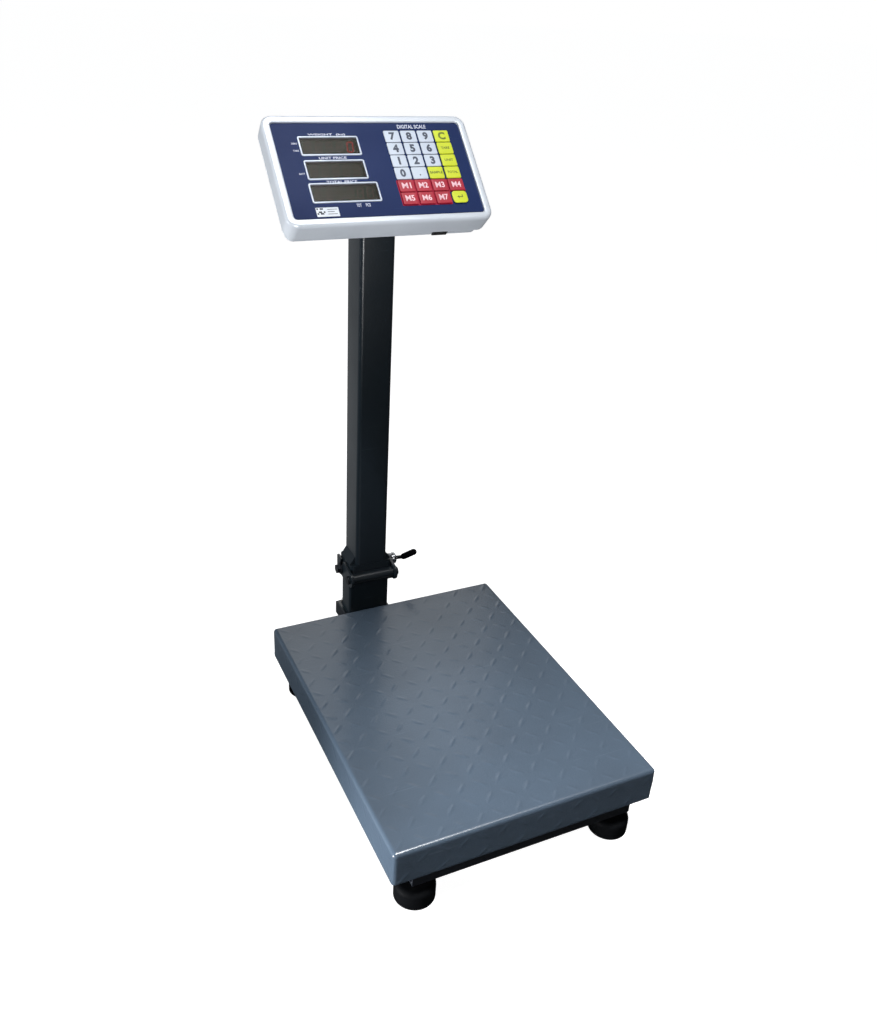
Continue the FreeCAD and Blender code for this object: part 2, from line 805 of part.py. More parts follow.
def tilt_bolt():
    """The bolt through the tilt joint, with its head and a lock nut."""
    outside = yoke_inside / 2 + yoke_ear
    length = 2 * outside + M8_nut + bolt_past_nut
    shank = rod(tilt_bolt_radius, length, Vector(-outside, column_y, tilt_z), X_AXIS)
    head = hexagon(M8_flats, M8_head, Vector(-outside, column_y, tilt_z), -X_AXIS)
    nut = hexagon(M8_flats, M8_nut, Vector(outside, column_y, tilt_z), X_AXIS)
    return joined([shank, head, nut])


# ---------------------------------------------------------------- head, drawn in (u, v, n)
def front_bezel():
    """The front casing: a frame with rolled edges, a ledge for the panel, and screw bosses."""
    bezel = rounded_plate(bezel_width, bezel_height, bezel_corner, -bezel_depth, bezel_proud)
    bezel = bezel.makeFillet(bezel_edge, edges_at(bezel, bezel_proud))
    opening = rounded_plate(panel_width, panel_height, panel_corner, -panel_sheet,
                            bezel_proud + cut_past)
    bezel = bezel.cut(opening)
    ledge_u = panel_width - 2 * ledge_width
    ledge_v = panel_height - 2 * ledge_width
    bezel = bezel.cut(rounded_plate(ledge_u, ledge_v, panel_corner, -bezel_depth, 0))
    depth = panel_sheet + ledge_thickness
    room = rounded_plate(bezel_width - 2 * bezel_wall, bezel_height - 2 * bezel_wall,
                         bezel_corner - bezel_wall, -bezel_depth - cut_past, -depth)
    bezel = bezel.cut(room)
    boss_length = bezel_depth - cover_wall - depth
    pieces = [bezel]
    for u, v in four_corners(boss_u, boss_v):
        pieces.append(rod(boss_radius, boss_length, Vector(u, v, -depth), -Z_AXIS))
    for u, v, back in board_posts():
        pieces.append(rod(board_post_radius, back - depth, Vector(u, v, -depth), -Z_AXIS))
    bezel = joined(pieces)
    for u, v in four_corners(boss_u, boss_v):
        start = Vector(u, v, -bezel_depth)
        bezel = bezel.cut(rod(case_screw_radius, case_screw_grip + cover_wall, start, Z_AXIS))
    return bezel


def board_posts():
    """Posts on the ledge for the two front boards: u, v and how deep each one reaches."""
    u = panel_width / 2 - ledge_width / 2
    v = panel_height / 2 - front_post_inset_v
    keypad_face = key_board_depth()
    posts = [(-u, -v, display_depth), (-u, v, display_depth)]
    return posts + [(u, -v, keypad_face), (u, v, keypad_face)]


def key_board_depth():
    """How deep the keypad board's front face lies: under the pressed keys and their domes."""
    pressed = panel_sheet + flange_gap + key_flange_thickness + key_travel
    return pressed + dome_gap + dome_height


def back_cover():
    """The rear casing, set in from the bezel, with its rim, screw posts and board posts."""
    back = -cover_back
    outer = rounded_plate(cover_width, cover_height, cover_corner, back, -bezel_depth)
    outer = outer.makeFillet(cover_edge, edges_at(outer, back))
    rim = rounded_plate(bezel_width - 2 * bezel_wall - 2 * seat_gap,
                        bezel_height - 2 * bezel_wall - 2 * seat_gap,
                        bezel_corner - bezel_wall - seat_gap, -bezel_depth,
                        -bezel_depth + cover_wall)
    room = rounded_plate(cover_width - 2 * cover_wall, cover_height - 2 * cover_wall,
                         cover_corner - cover_wall, cover_floor, 0)
    cover = outer.fuse(rim).cut(room)
    pieces = [cover]
    length = -bezel_depth + cover_wall - cover_floor
    for u, v in four_corners(boss_u, boss_v):
        pieces.append(rod(boss_radius, length, Vector(u, v, cover_floor), Z_AXIS))
    for u, v in main_board_corners():
        top = -(main_board_depth + board_thickness)
        pieces.append(rod(board_post_radius, top - cover_floor, Vector(u, v, cover_floor), Z_AXIS))
    cover = joined(pieces)
    for u, v in four_corners(boss_u, boss_v):
        start = Vector(u, v, back - cut_past)
        reach = cover_depth + cover_wall + 2 * cut_past
        cover = cover.cut(rod(case_screw_radius, reach, start, Z_AXIS))
    through = cover_wall + 2 * cut_past
    for u, v in four_corners(mount_screw_x, mount_screw_v):
        start = Vector(u, v - tilt_below_centre, back - cut_past)
        cover = cover.cut(rod(case_screw_radius, through, start, Z_AXIS))
    for u, v in (gland_mains, gland_cell):
        cover = cover.cut(rod(gland_shank, through, Vector(u, v, back - cut_past), Z_AXIS))
    wall_v = -cover_height / 2 - cut_past
    slot = block(switch_u - switch_width / 2, switch_u + switch_width / 2, wall_v,
                 wall_v + through, switch_n - switch_height / 2, switch_n + switch_height / 2)
    return cover.cut(slot)


def pan_screw(u, v, seat, reach):
    """A small pan-head screw that enters the head from behind."""
    head = rod(pan_head_radius, pan_head_height, Vector(u, v, seat), -Z_AXIS)
    shank = rod(case_screw_radius, reach, Vector(u, v, seat), Z_AXIS)
    return joined([head, shank])


def case_screws():
    """Four screws that close the casing and four that hold the tilt mount."""
    screws = []
    for u, v in four_corners(boss_u, boss_v):
        screws.append(pan_screw(u, v, -cover_back, cover_depth + case_screw_grip))
    seat = -cover_back - mount_plate
    reach = mount_plate + cover_wall + M3_nut + bolt_past_nut
    for u, v in four_corners(mount_screw_x, mount_screw_v):
        screw = pan_screw(u, v - tilt_below_centre, seat, reach)
        nut = hexagon(M3_flats, M3_nut, Vector(u, v - tilt_below_centre, cover_floor))
        screws.append(joined([screw, nut]))
    return screws


def key_places():
    """Each key's name, centre u, centre v and corner radius."""
    places = []
    for row in range(key_rows):
        for column in range(key_columns):
            u = keypad_u + (column - (key_columns - 1) / 2) * key_pitch_u
            v = keypad_v + ((key_rows - 1) / 2 - row) * key_pitch_v
            name = key_names[row][column]
            corner = enter_corner if name == "key_enter" else key_corner
            places.append((name, u, v, corner))
    return places


def control_panel():
    """The panel, cut out for the windows and for each key's stem."""
    panel = rounded_plate(panel_width - 2 * panel_gap, panel_height - 2 * panel_gap,
                          panel_corner - panel_gap, -panel_sheet, 0)
    cuts = []
    for u, v, width in windows:
        neck = window_neck(width)
        cuts.append(moved(rounded_plate(*neck, -panel_sheet - cut_past, cut_past), u, v))
    for name, u, v, corner in key_places():
        hole = rounded_plate(stem_width + 2 * key_gap, stem_height + 2 * key_gap, key_corner,
                             -panel_sheet - cut_past, cut_past)
        cuts.append(moved(hole, u, v))
    return panel.cut(cuts)


def window_neck(width):
    """Width, height and corner of the part of a window's trim that passes the panel."""
    inset = window_trim / 2
    return width - 2 * inset, window_height - 2 * inset, window_corner - inset


def window_frames():
    """The raised trims round the three windows."""
    trims = []
    for u, v, width in windows:
        lip = rounded_plate(width, window_height, window_corner, 0, window_trim_proud)
        neck = rounded_plate(*window_neck(width), -panel_sheet, 0)
        room = rounded_plate(width - 2 * window_trim, window_height - 2 * window_trim,
                             window_corner - window_trim, -panel_sheet - cut_past,
                             window_trim_proud + cut_past)
        trims.append(moved(joined([lip, neck]).cut(room), u, v))
    return trims


def display_windows():
    """The smoked windows, pressed into their trims."""
    panes = []
    for u, v, width in windows:
        pane = rounded_plate(width - 2 * window_trim, window_height - 2 * window_trim,
                             window_corner - window_trim, -panel_sheet, pane_proud)
        panes.append(moved(pane, u, v))
    return panes


def display_board():
    """The display board with its three rows of digit modules."""
    edge = panel_width / 2 - front_board_edge
    half = panel_height / 2 - front_board_inset_v
    back = -display_depth - board_thickness
    pieces = [block(-edge, -front_board_edge, -half, half, back, -display_depth)]
    front = -(panel_sheet + module_gap)
    for u, v, width in windows:
        reach = width / 2 - 2 * window_trim
        pieces.append(block(u - reach, u + reach, v - module_height / 2, v + module_height / 2,
                            -display_depth, front))
    return pieces


def keypad_board():
    """The keypad board with a switch dome under each key."""
    face = -key_board_depth()
    edge = panel_width / 2 - front_board_edge
    half = panel_height / 2 - front_board_inset_v
    pieces = [block(front_board_edge, edge, -half, half, face - board_thickness, face)]
    for name, u, v, corner in key_places():
        pieces.append(rod(dome_radius, dome_height, Vector(u, v, face), Z_AXIS))
    return joined(pieces)


def main_board_corners():
    """The four posts of the main board, in from its corners."""
    low_u, low_v = main_board_low
    high_u, high_v = main_board_high
    us = (low_u + main_post_inset, high_u - main_post_inset)
    vs = (low_v + main_post_inset, high_v - main_post_inset)
    return [(u, v) for v in vs for u in us]


def main_board():
    """The main board with its larger components."""
    back = -(main_board_depth + board_thickness)
    low_u, low_v = main_board_low
    high_u, high_v = main_board_high
    pieces = [block(low_u, high_u, low_v, high_v, back, -main_board_depth)]
    for u0, u1, v0, v1 in chip_places:
        pieces.append(block(u0, u1, v0, v1, back - chip_height, back))
    for u, v in capacitor_places:
        pieces.append(rod(capacitor_radius, capacitor_height, Vector(u, v, back), -Z_AXIS))
    return pieces


def transformer():
    """The mains transformer: laminated core, coil, and the bracket that holds it down."""
    width, height, depth = transformer_size
    half_u = width / 2
    half_v = bracket_width / 2
    top = cover_floor + depth
    core = block(-half_u, half_u, -height / 2, height / 2, cover_floor + core_inset,
                 top - core_inset)
    coil = rounded_plate(*coil_size, coil_corner, cover_floor, top)
    feet = block(-half_u - bracket_reach, half_u + bracket_reach, -half_v, half_v, cover_floor,
                 cover_floor + bracket_sheet)
    saddle = block(-half_u, half_u, -half_v, half_v, cover_floor, cover_floor + depth / 2)
    return moved(joined([core, coil, feet, saddle]), transformer_u, transformer_v)


def battery():
    """The sealed rechargeable battery, with its two tabs."""
    width, height, depth = battery_size
    case = block(-width / 2, width / 2, -height / 2, height / 2, cover_floor,
                 cover_floor + depth)
    tab_width, tab_sheet, tab_rise = tab_size
    middle = cover_floor + depth / 2
    tabs = []
    for side in (-1, 1):
        u = side * width / 4
        tabs.append(block(u - tab_width / 2, u + tab_width / 2, height / 2,
                          height / 2 + tab_sheet, middle - tab_rise / 2, middle + tab_rise / 2))
    return moved(joined([case] + tabs), battery_u, 0)


def power_switch():
    """The rocker switch's housing, clipped into the lower wall of the back cover."""
    wall = -cover_height / 2
    half_u = switch_width / 2
    half_n = switch_height / 2
    lip = switch_flange
    housing = block(switch_u - half_u, switch_u + half_u, wall, wall + switch_length,
                    switch_n - half_n, switch_n + half_n)
    flange = block(switch_u - half_u - lip, switch_u + half_u + lip,
                   wall - switch_flange_thickness, wall, switch_n - half_n - lip,
                   switch_n + half_n + lip)
    room_u = rocker_radius + key_gap
    room_n = half_n - rocker_wall
    room = block(switch_u - room_u, switch_u + room_u, wall - switch_flange_thickness - cut_past,
                 rocker_pivot_v() + rocker_radius + key_gap, switch_n - room_n,
                 switch_n + room_n)
    return joined([housing, flange]).cut(room)


def rocker_pivot_v():
    """The v of the rocker's pivot, just inside the switch's flange."""
    return -cover_height / 2 - switch_flange_thickness + rocker_sunk


def power_rocker():
    """The rocker: a round-sided key with a shallow V face, at rest with one side pressed."""
    length = switch_height - 2 * rocker_wall - 2 * key_gap
    start = Vector(switch_u, rocker_pivot_v(), switch_n - length / 2)
    drum = rod(rocker_radius, length, start, Z_AXIS)
    reach = 2 * rocker_radius
    for side in (-1, 1):
        cutter = block(-reach, reach, -reach, -rocker_face, -length, length)
        cutter.rotate(Vector(0, 0, 0), Z_AXIS, side * rocker_half_angle)
        cutter.translate(Vector(switch_u, rocker_pivot_v(), switch_n))
        drum = drum.cut(cutter)
    drum.rotate(start, Z_AXIS, -rocker_half_angle)
    return drum


def cable_gland(u, v):
    """One gland in the rear wall: hexagon, dome, threaded shank, nut, and a bore for a cable."""
    back = -cover_back
    body = hexagon(gland_across_flats, gland_hex, Vector(u, v, back), -Z_AXIS)
    dome = Part.makeCone(gland_dome_foot, gland_dome_tip, gland_dome - gland_hex,
                         Vector(u, v, back - gland_hex), -Z_AXIS)
    shank = rod(gland_shank, cover_wall + gland_tail, Vector(u, v, back), Z_AXIS)
    nut = hexagon(gland_across_flats, gland_nut, Vector(u, v, cover_floor))
    gland = joined([body, dome, shank, nut])
    start = Vector(u, v, back - gland_dome - cut_past)
    length = gland_dome + cover_wall + gland_tail + 2 * cut_past
    return gland.cut(rod(gland_bore, length, start, Z_AXIS))


def cable_glands():
    """The gland for the mains cord and the gland for the load cell's cable."""
    return [cable_gland(*gland_mains), cable_gland(*gland_cell)]


def head_mount():
    """The bracket on the rear wall: a plate and two lugs between the yoke's ears."""
    back = -cover_back
    half = yoke_inside / 2 - seat_gap
    low = -tilt_below_centre - mount_length / 2
    plate = block(-half, half, low, low + mount_length, back - mount_plate, back)
    pieces = [plate]
    for u0 in (-half, half - mount_lug):
        pieces.append(rod(mount_lug_radius, mount_lug, Vector(u0, -tilt_below_centre, tilt_n),
                          X_AXIS))
        pieces.append(block(u0, u0 + mount_lug, -tilt_below_centre - mount_lug_radius,
                            -tilt_below_centre + mount_lug_radius, tilt_n, back))
    mount = joined(pieces)
    start = Vector(-yoke_inside, -tilt_below_centre, tilt_n)
    mount = mount.cut(rod(tilt_bolt_radius + running_clearance, 2 * yoke_inside, start, X_AXIS))
    for u, v in four_corners(mount_screw_x, mount_screw_v):
        start = Vector(u, v - tilt_below_centre, back - mount_plate - cut_past)
        mount = mount.cut(rod(case_screw_radius, mount_plate + 2 * cut_past, start, Z_AXIS))
    return mount


def key(u, v, corner):
    """A key: its cap above the panel, the stem through it, and the flange that holds it in."""
    cap = rounded_plate(key_width, key_height, corner, key_lift, key_lift + key_thickness)
    cap = cap.makeFillet(key_edge, edges_at(cap, key_lift + key_thickness))
    stem = rounded_plate(stem_width, stem_height, key_corner - key_gap, key_flange_top, key_lift)
    flange = rounded_plate(stem_width + 2 * key_flange_lip, stem_height + 2 * key_flange_lip,
                           key_corner, key_flange_top - key_flange_thickness, key_flange_top)
    return moved(joined([cap, stem, flange]), u, v)


# ---------------------------------------------------------------- the nodes
def standing_nodes():
    """Every node of the base, tray, feet and column, as name and shape or shapes."""
    nodes = {
        "base_frame": base_frame(),
        "load_cell": load_cell(),
        "load_frame": load_frame(),
        "tray_buffers": tray_buffers(),
        "overload_stops": overload_stops(),
        "base_fasteners": base_fasteners(),
        "tray": tray(),
        "lower_post": lower_post(),
        "hinge_cradle": hinge_cradle(),
        "hinge_pin": hinge_pin(),
        "column_shoe": column_shoe(),
        "column_tube": column_tube(),
        "clamp_rod": clamp_rod(),
        "clamp_lever": clamp_lever(),
        "lever_grip": lever_grip(),
        "tilt_yoke": tilt_yoke(),
        "tilt_bolt": tilt_bolt(),
    }
    for name, x, y in foot_places():
        nodes[name] = foot(x, y)
    return nodes


def foot_places():
    """Each foot's name and place."""
    return [
        ("foot_front_left", -foot_x, -foot_y),
        ("foot_front_right", foot_x, -foot_y),
        ("foot_rear_left", -foot_x, foot_y),
        ("foot_rear_right", foot_x, foot_y),
    ]


def head_nodes():
    """Every node of the head, drawn on the panel."""
    nodes = {
        "front_bezel": front_bezel(),
        "back_cover": back_cover(),
        "case_screws": case_screws(),
        "control_panel": control_panel(),
        "window_frames": window_frames(),
        "display_windows": display_windows(),
        "display_board": display_board(),
        "keypad_board": keypad_board(),
        "main_board": main_board(),
        "transformer": transformer(),
        "battery": battery(),
        "power_switch": power_switch(),
        "power_rocker": power_rocker(),
        "cable_glands": cable_glands(),
        "head_mount": head_mount(),
    }
    for name, u, v, corner in key_places():
        nodes[name] = key(u, v, corner)
    return nodes


def export(name, shape):
    """Write one node, moved so that the origin is under the middle of the scale."""
    if isinstance(shape, list):
        shape = Part.makeCompound(shape)
    placed = shape.copy()
    placed.translate(Vector(0, -origin_y, 0))
    placed.exportStep("parts/" + name + ".step")


def build():
    """Write every node to parts/."""
    os.makedirs("parts", exist_ok=True)
    for name, shape in standing_nodes().items():
        export(name, shape)
    for name, shape in head_nodes().items():
        if isinstance(shape, list):
            shape = Part.makeCompound(shape)
        export(name, on_head(shape))


build()
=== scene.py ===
# %% [markdown]
# # A platform shipping scale
# The CAD model gives every piece its size, its place and its joint.  This lesson gives the scale
# its looks: a painted tread-plate tray, a charcoal column with a fold joint, and a silver head
# with smoked windows and a coloured keypad.  It starts by loading the CAD model as a fixed frame.

# %% Load the frame
import json
import math

import bmesh
import bpy
import numpy as np
from mathutils import Matrix, Vector


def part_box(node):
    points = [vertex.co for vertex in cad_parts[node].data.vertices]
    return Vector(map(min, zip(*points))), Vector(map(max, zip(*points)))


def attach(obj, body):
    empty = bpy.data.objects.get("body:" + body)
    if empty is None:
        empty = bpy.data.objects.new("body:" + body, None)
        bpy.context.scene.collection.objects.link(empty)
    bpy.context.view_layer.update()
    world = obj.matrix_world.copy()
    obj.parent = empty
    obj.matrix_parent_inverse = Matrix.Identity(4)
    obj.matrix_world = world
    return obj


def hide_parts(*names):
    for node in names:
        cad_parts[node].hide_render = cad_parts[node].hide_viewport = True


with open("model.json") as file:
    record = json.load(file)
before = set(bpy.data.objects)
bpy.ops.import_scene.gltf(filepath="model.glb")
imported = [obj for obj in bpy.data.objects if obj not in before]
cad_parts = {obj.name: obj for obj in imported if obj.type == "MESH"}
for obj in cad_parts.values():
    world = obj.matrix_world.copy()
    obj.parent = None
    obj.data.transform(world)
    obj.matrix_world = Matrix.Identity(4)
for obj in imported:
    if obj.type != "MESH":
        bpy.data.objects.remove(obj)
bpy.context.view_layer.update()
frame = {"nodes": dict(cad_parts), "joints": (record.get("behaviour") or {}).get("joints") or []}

mm = 0.001


def node_box(node):
    """The lowest and highest corner of a CAD node, as two arrays in metres."""
    low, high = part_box(node)
    return np.array(low), np.array(high)


tray_low, tray_high = node_box("tray")

# %% [markdown]
# ## Camera
# A product picture of a tall object is taken from a little above and to one side.  The camera
# stands in front of the tray, to its left, and looks down at it; its place is measured from the
# middle of the tray's top.  A real camera is rarely held dead level, so it has a small roll.

# %% Camera
camera_from_tray = np.array([-479.0, -882.4, 823.4]) * mm
camera_turn = math.radians(26.88)
camera_drop = math.radians(-28.68)
camera_roll = math.radians(3.43)
camera_lens = 33.53


def aimed_matrix(place, turn, drop, roll):
    """A camera's matrix: it looks along +Y turned towards +X, dropped, then rolled."""
    ahead = Vector((math.sin(turn) * math.cos(drop), math.cos(turn) * math.cos(drop), math.sin(drop)))
    side = Vector((math.cos(turn), -math.sin(turn), 0.0))
    above = side.cross(ahead)
    right = side * math.cos(roll) + above * math.sin(roll)
    up = right.cross(ahead)
    matrix = Matrix((right, up, -ahead)).transposed().to_4x4()
    matrix.translation = place
    return matrix


tray_centre = (tray_low + tray_high) / 2
tray_centre[2] = tray_high[2]
camera_data = bpy.data.cameras.new("camera")
camera_data.lens = camera_lens
camera_data.sensor_width = 36.0
camera_data.clip_start = 0.01
camera = bpy.data.objects.new("camera", camera_data)
camera_place = Vector(tray_centre + camera_from_tray)
camera.matrix_world = aimed_matrix(camera_place, camera_turn, camera_drop, camera_roll)
bpy.context.scene.collection.objects.link(camera)
bpy.context.scene.camera = camera
print("camera at", [round(v, 3) for v in camera.matrix_world.translation])

# %% [markdown]
# ## Helpers for shaders
# A shader is a tree of small nodes.  These helpers add one node with all its inputs, and pass on
# the output that the next node reads, so that a formula reads from left to right.

# %% Node helpers
def linear(red, green, blue):
    """An sRGB colour given as 0 to 255, as the linear values that Blender's sockets take."""
    value = np.array([red, green, blue]) / 255
    value = np.where(value <= 0.04045, value / 12.92, ((value + 0.055) / 1.055) ** 2.4)
    return (*value.tolist(), 1.0)


def plug(tree, socket, value):
    """Feed a socket from another node's output, or set it to a plain value."""
    if isinstance(value, bpy.types.NodeSocket):
        tree.links.new(value, socket)
    else:
        socket.default_value = value


def add_node(tree, kind, settings=None, **inputs):
    """A node with its settings and inputs; _0, _1 and so on are inputs by number."""
    node = tree.nodes.new(kind)
    for key, value in (settings or {}).items():
        setattr(node, key, value)
    for key, value in inputs.items():
        plug(tree, node.inputs[int(key[1:]) if key[1:].isdigit() else key.replace("_", " ")], value)
    return node


def math_of(tree, operation, first, second, clamp=False):
    """Two values put through a math node."""
    settings = {"operation": operation, "use_clamp": clamp}
    return add_node(tree, "ShaderNodeMath", settings, _0=first, _1=second).outputs[0]


def vector_of(tree, operation, *vectors):
    """Vectors put through a vector math node; a length comes out as a value."""
    node = add_node(tree, "ShaderNodeVectorMath", {"operation": operation})
    for socket, value in zip(node.inputs, vectors):
        plug(tree, socket, value)
    return node.outputs["Value" if operation == "LENGTH" else "Vector"]


def range_of(tree, value, start, end, low=0.0, high=1.0, kind="LINEAR"):
    """A value moved from the range start to end into the range low to high, and kept inside."""
    node = add_node(tree, "ShaderNodeMapRange", {"interpolation_type": kind}, Value=value,
                    From_Min=start, From_Max=end, To_Min=low, To_Max=high)
    return node.outputs[0]


def colour_mix(tree, fraction, first, second):
    """Two colours mixed by a fraction; gives the mixed colour's output."""
    node = add_node(tree, "ShaderNodeMix", {"data_type": "RGBA"}, _0=fraction, _6=first, _7=second)
    return node.outputs[2]


def object_place(tree):
    """The output that holds a point's place in its object."""
    return tree.nodes.new("ShaderNodeTexCoord").outputs["Object"]


def new_group(name, inputs, outputs):
    """An empty shader group and its two end nodes; the count of numbers in a socket gives its
    type: one is a float, three are a vector and four are a colour."""
    kinds = {1: "NodeSocketFloat", 3: "NodeSocketVector", 4: "NodeSocketColor"}
    tree = bpy.data.node_groups.new(name, "ShaderNodeTree")
    for label, value in inputs.items():
        kind = kinds[len(value) if isinstance(value, tuple) else 1]
        tree.interface.new_socket(label, in_out="INPUT", socket_type=kind).default_value = value
    for label, count in outputs.items():
        tree.interface.new_socket(label, in_out="OUTPUT", socket_type=kinds[count])
    return tree, tree.nodes.new("NodeGroupInput").outputs, tree.nodes.new("NodeGroupOutput").inputs


print("node helpers ready")

# %% [markdown]
# ## Studio
# The scale stands on a large sheet of white paper.  A soft light low at the left makes the left
# sides light and leaves the front sides dark.  A pool of light falls on the front of the tray, a
# broad soft light hangs overhead, and weak ones fill from the front and behind.  White paper
# throws much light back up, which would grey the dark front, so paper and room send less light to
# other surfaces than the camera sees on them: each shader is chosen by the kind of ray.

# %% Floor and lights
scene = bpy.context.scene
scene.view_settings.view_transform = "Standard"
floor_reach = 30.0
floor_mesh = bpy.data.meshes.new("studio_floor")
floor_corners = [(x * floor_reach, y * floor_reach, 0) for x, y in ((-1, -1), (1, -1), (1, 1), (-1, 1))]
floor_mesh.from_pydata(floor_corners, [], [(0, 1, 2, 3)])
floor = bpy.data.objects.new("studio_floor", floor_mesh)
scene.collection.objects.link(floor)


def by_ray(tree, ray, seen, sent):
    """A mix of two shaders: seen for one kind of ray, sent for all other rays."""
    path = tree.nodes.new("ShaderNodeLightPath")
    return add_node(tree, "ShaderNodeMixShader", _0=path.outputs[ray], _1=sent, _2=seen).outputs[0]


def plain_shader(tree, kind, shade, **inputs):
    """A shader node of one plain colour."""
    return add_node(tree, kind, Color=(*shade, 1), **inputs).outputs[0]


floor_paper = bpy.data.materials.new("floor_paper")
floor_paper.use_nodes = True
paper = floor_paper.node_tree
paper.nodes.clear()
paper_place = add_node(paper, "ShaderNodeSeparateXYZ", Vector=object_place(paper)).outputs
paper_glow = plain_shader(paper, "ShaderNodeEmission", (1, 1, 1), Strength=0.94)
paper_lit = plain_shader(paper, "ShaderNodeBsdfDiffuse", (0.45, 0.45, 0.45))
paper_seen = add_node(paper, "ShaderNodeAddShader", _0=paper_glow, _1=paper_lit).outputs[0]
paper_fade = range_of(paper, paper_place["Y"], 0.1, 0.7, 0.02, 0.3, "SMOOTHSTEP")
paper_shiny = plain_shader(paper, "ShaderNodeEmission", (0.96, 0.98, 1), Strength=paper_fade)
paper_sent = plain_shader(paper, "ShaderNodeBsdfDiffuse", (0.16, 0.16, 0.16))
paper_other = by_ray(paper, "Is Glossy Ray", paper_shiny, paper_sent)
paper_all = by_ray(paper, "Is Camera Ray", paper_seen, paper_other)
add_node(paper, "ShaderNodeOutputMaterial", Surface=paper_all)
floor_mesh.materials.append(floor_paper)

world = bpy.data.worlds.new("studio")
scene.world = world
world.use_nodes = True
room = world.node_tree
room.nodes.clear()
room_view = room.nodes.new("ShaderNodeTexCoord").outputs["Generated"]
room_way = add_node(room, "ShaderNodeSeparateXYZ", Vector=room_view).outputs
room_fades = [range_of(room, room_way[axis], *fade, "SMOOTHSTEP") for axis, fade in (
    ("X", (-0.3, 0.6, 0.08, 0.34)), ("Y", (-0.3, 0.4, 0.15, 1.0)), ("Z", (0.4, 0.8, 0.95, 0.2)))]
room_glow = math_of(room, "MULTIPLY", room_fades[0], math_of(room, "MULTIPLY", *room_fades[1:]))
room_shiny = plain_shader(room, "ShaderNodeBackground", (0.92, 0.97, 1.0), Strength=room_glow)
room_sent = plain_shader(room, "ShaderNodeBackground", (0.94, 0.98, 1.0), Strength=0.13)
room_seen = plain_shader(room, "ShaderNodeBackground", (1, 1, 1), Strength=1.0)
room_other = by_ray(room, "Is Glossy Ray", room_shiny, room_sent)
room_all = by_ray(room, "Is Camera Ray", room_seen, room_other)
add_node(room, "ShaderNodeOutputWorld", Surface=room_all)


def studio_light(name, kind, place, target, power, mirrored=True):
    """A light at place that faces target; mirrored tells whether shiny surfaces show it."""
    data = bpy.data.lights.new(name, kind)
    data.energy = power
    light = bpy.data.objects.new(name, data)
    light.location = place
    light.rotation_euler = (Vector(target) - Vector(place)).to_track_quat("-Z", "Y").to_euler()
    light.visible_glossy = mirrored
    scene.collection.objects.link(light)
    return data


for name, place, target, power, size, mirrored in (
        ("low_left", (-1.35, 0.1, 0.4), (0, 0.1, 0.4), 17, 0.5, False),
        ("overhead", (0.05, -0.15, 2.3), (0, 0, 0.3), 24, 1.1, True),
        ("front_fill", (-0.4, -2.2, 1.3), (0, 0, 0.5), 9, 1.0, True),
        ("behind", (0.6, 2.0, 1.5), (0, 0.1, 0.3), 5, 1.2, True)):
    studio_light(name, "AREA", place, target, power, mirrored).size = size
for name, place, target, power, spread in (
        ("front_pool", (0.1, -0.5, 1.7), (0.08, -0.42, 0.1), 215, 40),
        ("skirt_light", (-1.3, -0.27, 0.12), (-0.17, -0.24, 0.08), 320, 15),
        ("head_light", (-0.4, -1.7, 0.3), (0.02, 0.21, 0.76), 95, 17)):
    spot = studio_light(name, "SPOT", place, target, power)
    spot.spot_size = math.radians(spread)
    spot.spot_blend = 1.0
    spot.shadow_soft_size = 0.12

# %% [markdown]
# ## Meshes from formulas
# Most pieces are a profile carried round an outline, or turned about an axis.  Both are grids of
# points worked out with numpy: one direction of the grid runs along the profile and the other
# round the outline.  These helpers turn a grid into faces, close its ends and give it a finish.

# %% Mesh helpers
def grid_quads(rows, columns, wrap_rows=False, wrap_columns=True):
    """Quads between neighbouring points of a rows x columns grid, numbered row by row."""
    r = np.arange(rows if wrap_rows else rows - 1)
    c = np.arange(columns if wrap_columns else columns - 1)
    r, c = np.meshgrid(r, c, indexing="ij")
    r2 = (r + 1) % rows
    c2 = (c + 1) % columns
    quads = np.stack([r * columns + c, r * columns + c2, r2 * columns + c2, r2 * columns + c], -1)
    return quads.reshape(-1, 4)


def surface(points, wrap_rows=False, wrap_columns=True, caps=True):
    """Vertices and faces of a grid of points (rows, columns, 3); open ends get flat caps."""
    rows, columns = points.shape[:2]
    faces = grid_quads(rows, columns, wrap_rows, wrap_columns).tolist()
    if caps and not wrap_rows:
        faces.append(list(range(columns))[::-1])
        faces.append(list(range((rows - 1) * columns, rows * columns)))
    return points.reshape(-1, 3), faces


def joined_shapes(shapes):
    """Several (vertices, faces) as one."""
    vertices = []
    faces = []
    start = 0
    for points, polygons in shapes:
        vertices.append(np.asarray(points, float))
        faces.extend([[index + start for index in polygon] for polygon in polygons])
        start += len(points)
    return np.concatenate(vertices), faces


def rounded_outline(width, height, corner, steps=6):
    """Points round a rectangle with quarter-circle corners, anticlockwise, centred on (0, 0)."""
    corner = max(min(corner, width / 2 - 1e-6, height / 2 - 1e-6), 1e-6)
    turns = np.linspace(0, math.pi / 2, steps + 1)
    points = []
    for quarter in range(4):
        angle = turns + quarter * math.pi / 2
        sx = 1 if quarter in (0, 3) else -1
        sy = 1 if quarter in (0, 1) else -1
        x = sx * (width / 2 - corner) + corner * np.cos(angle)
        y = sy * (height / 2 - corner) + corner * np.sin(angle)
        points.append(np.stack([x, y], -1))
    return np.concatenate(points)


def carried(width, height, corner, profile, steps=6, wrap=False):
    """A profile carried round a rounded rectangle: each profile point is (inset, z), and each
    makes one ring, the outline drawn that far inside the rectangle, at height z."""
    rings = []
    for inset, z in profile:
        ring = rounded_outline(width - 2 * inset, height - 2 * inset, corner - inset, steps)
        rings.append(np.column_stack([ring, np.full(len(ring), z)]))
    return surface(np.array(rings), wrap_rows=wrap, caps=not wrap)


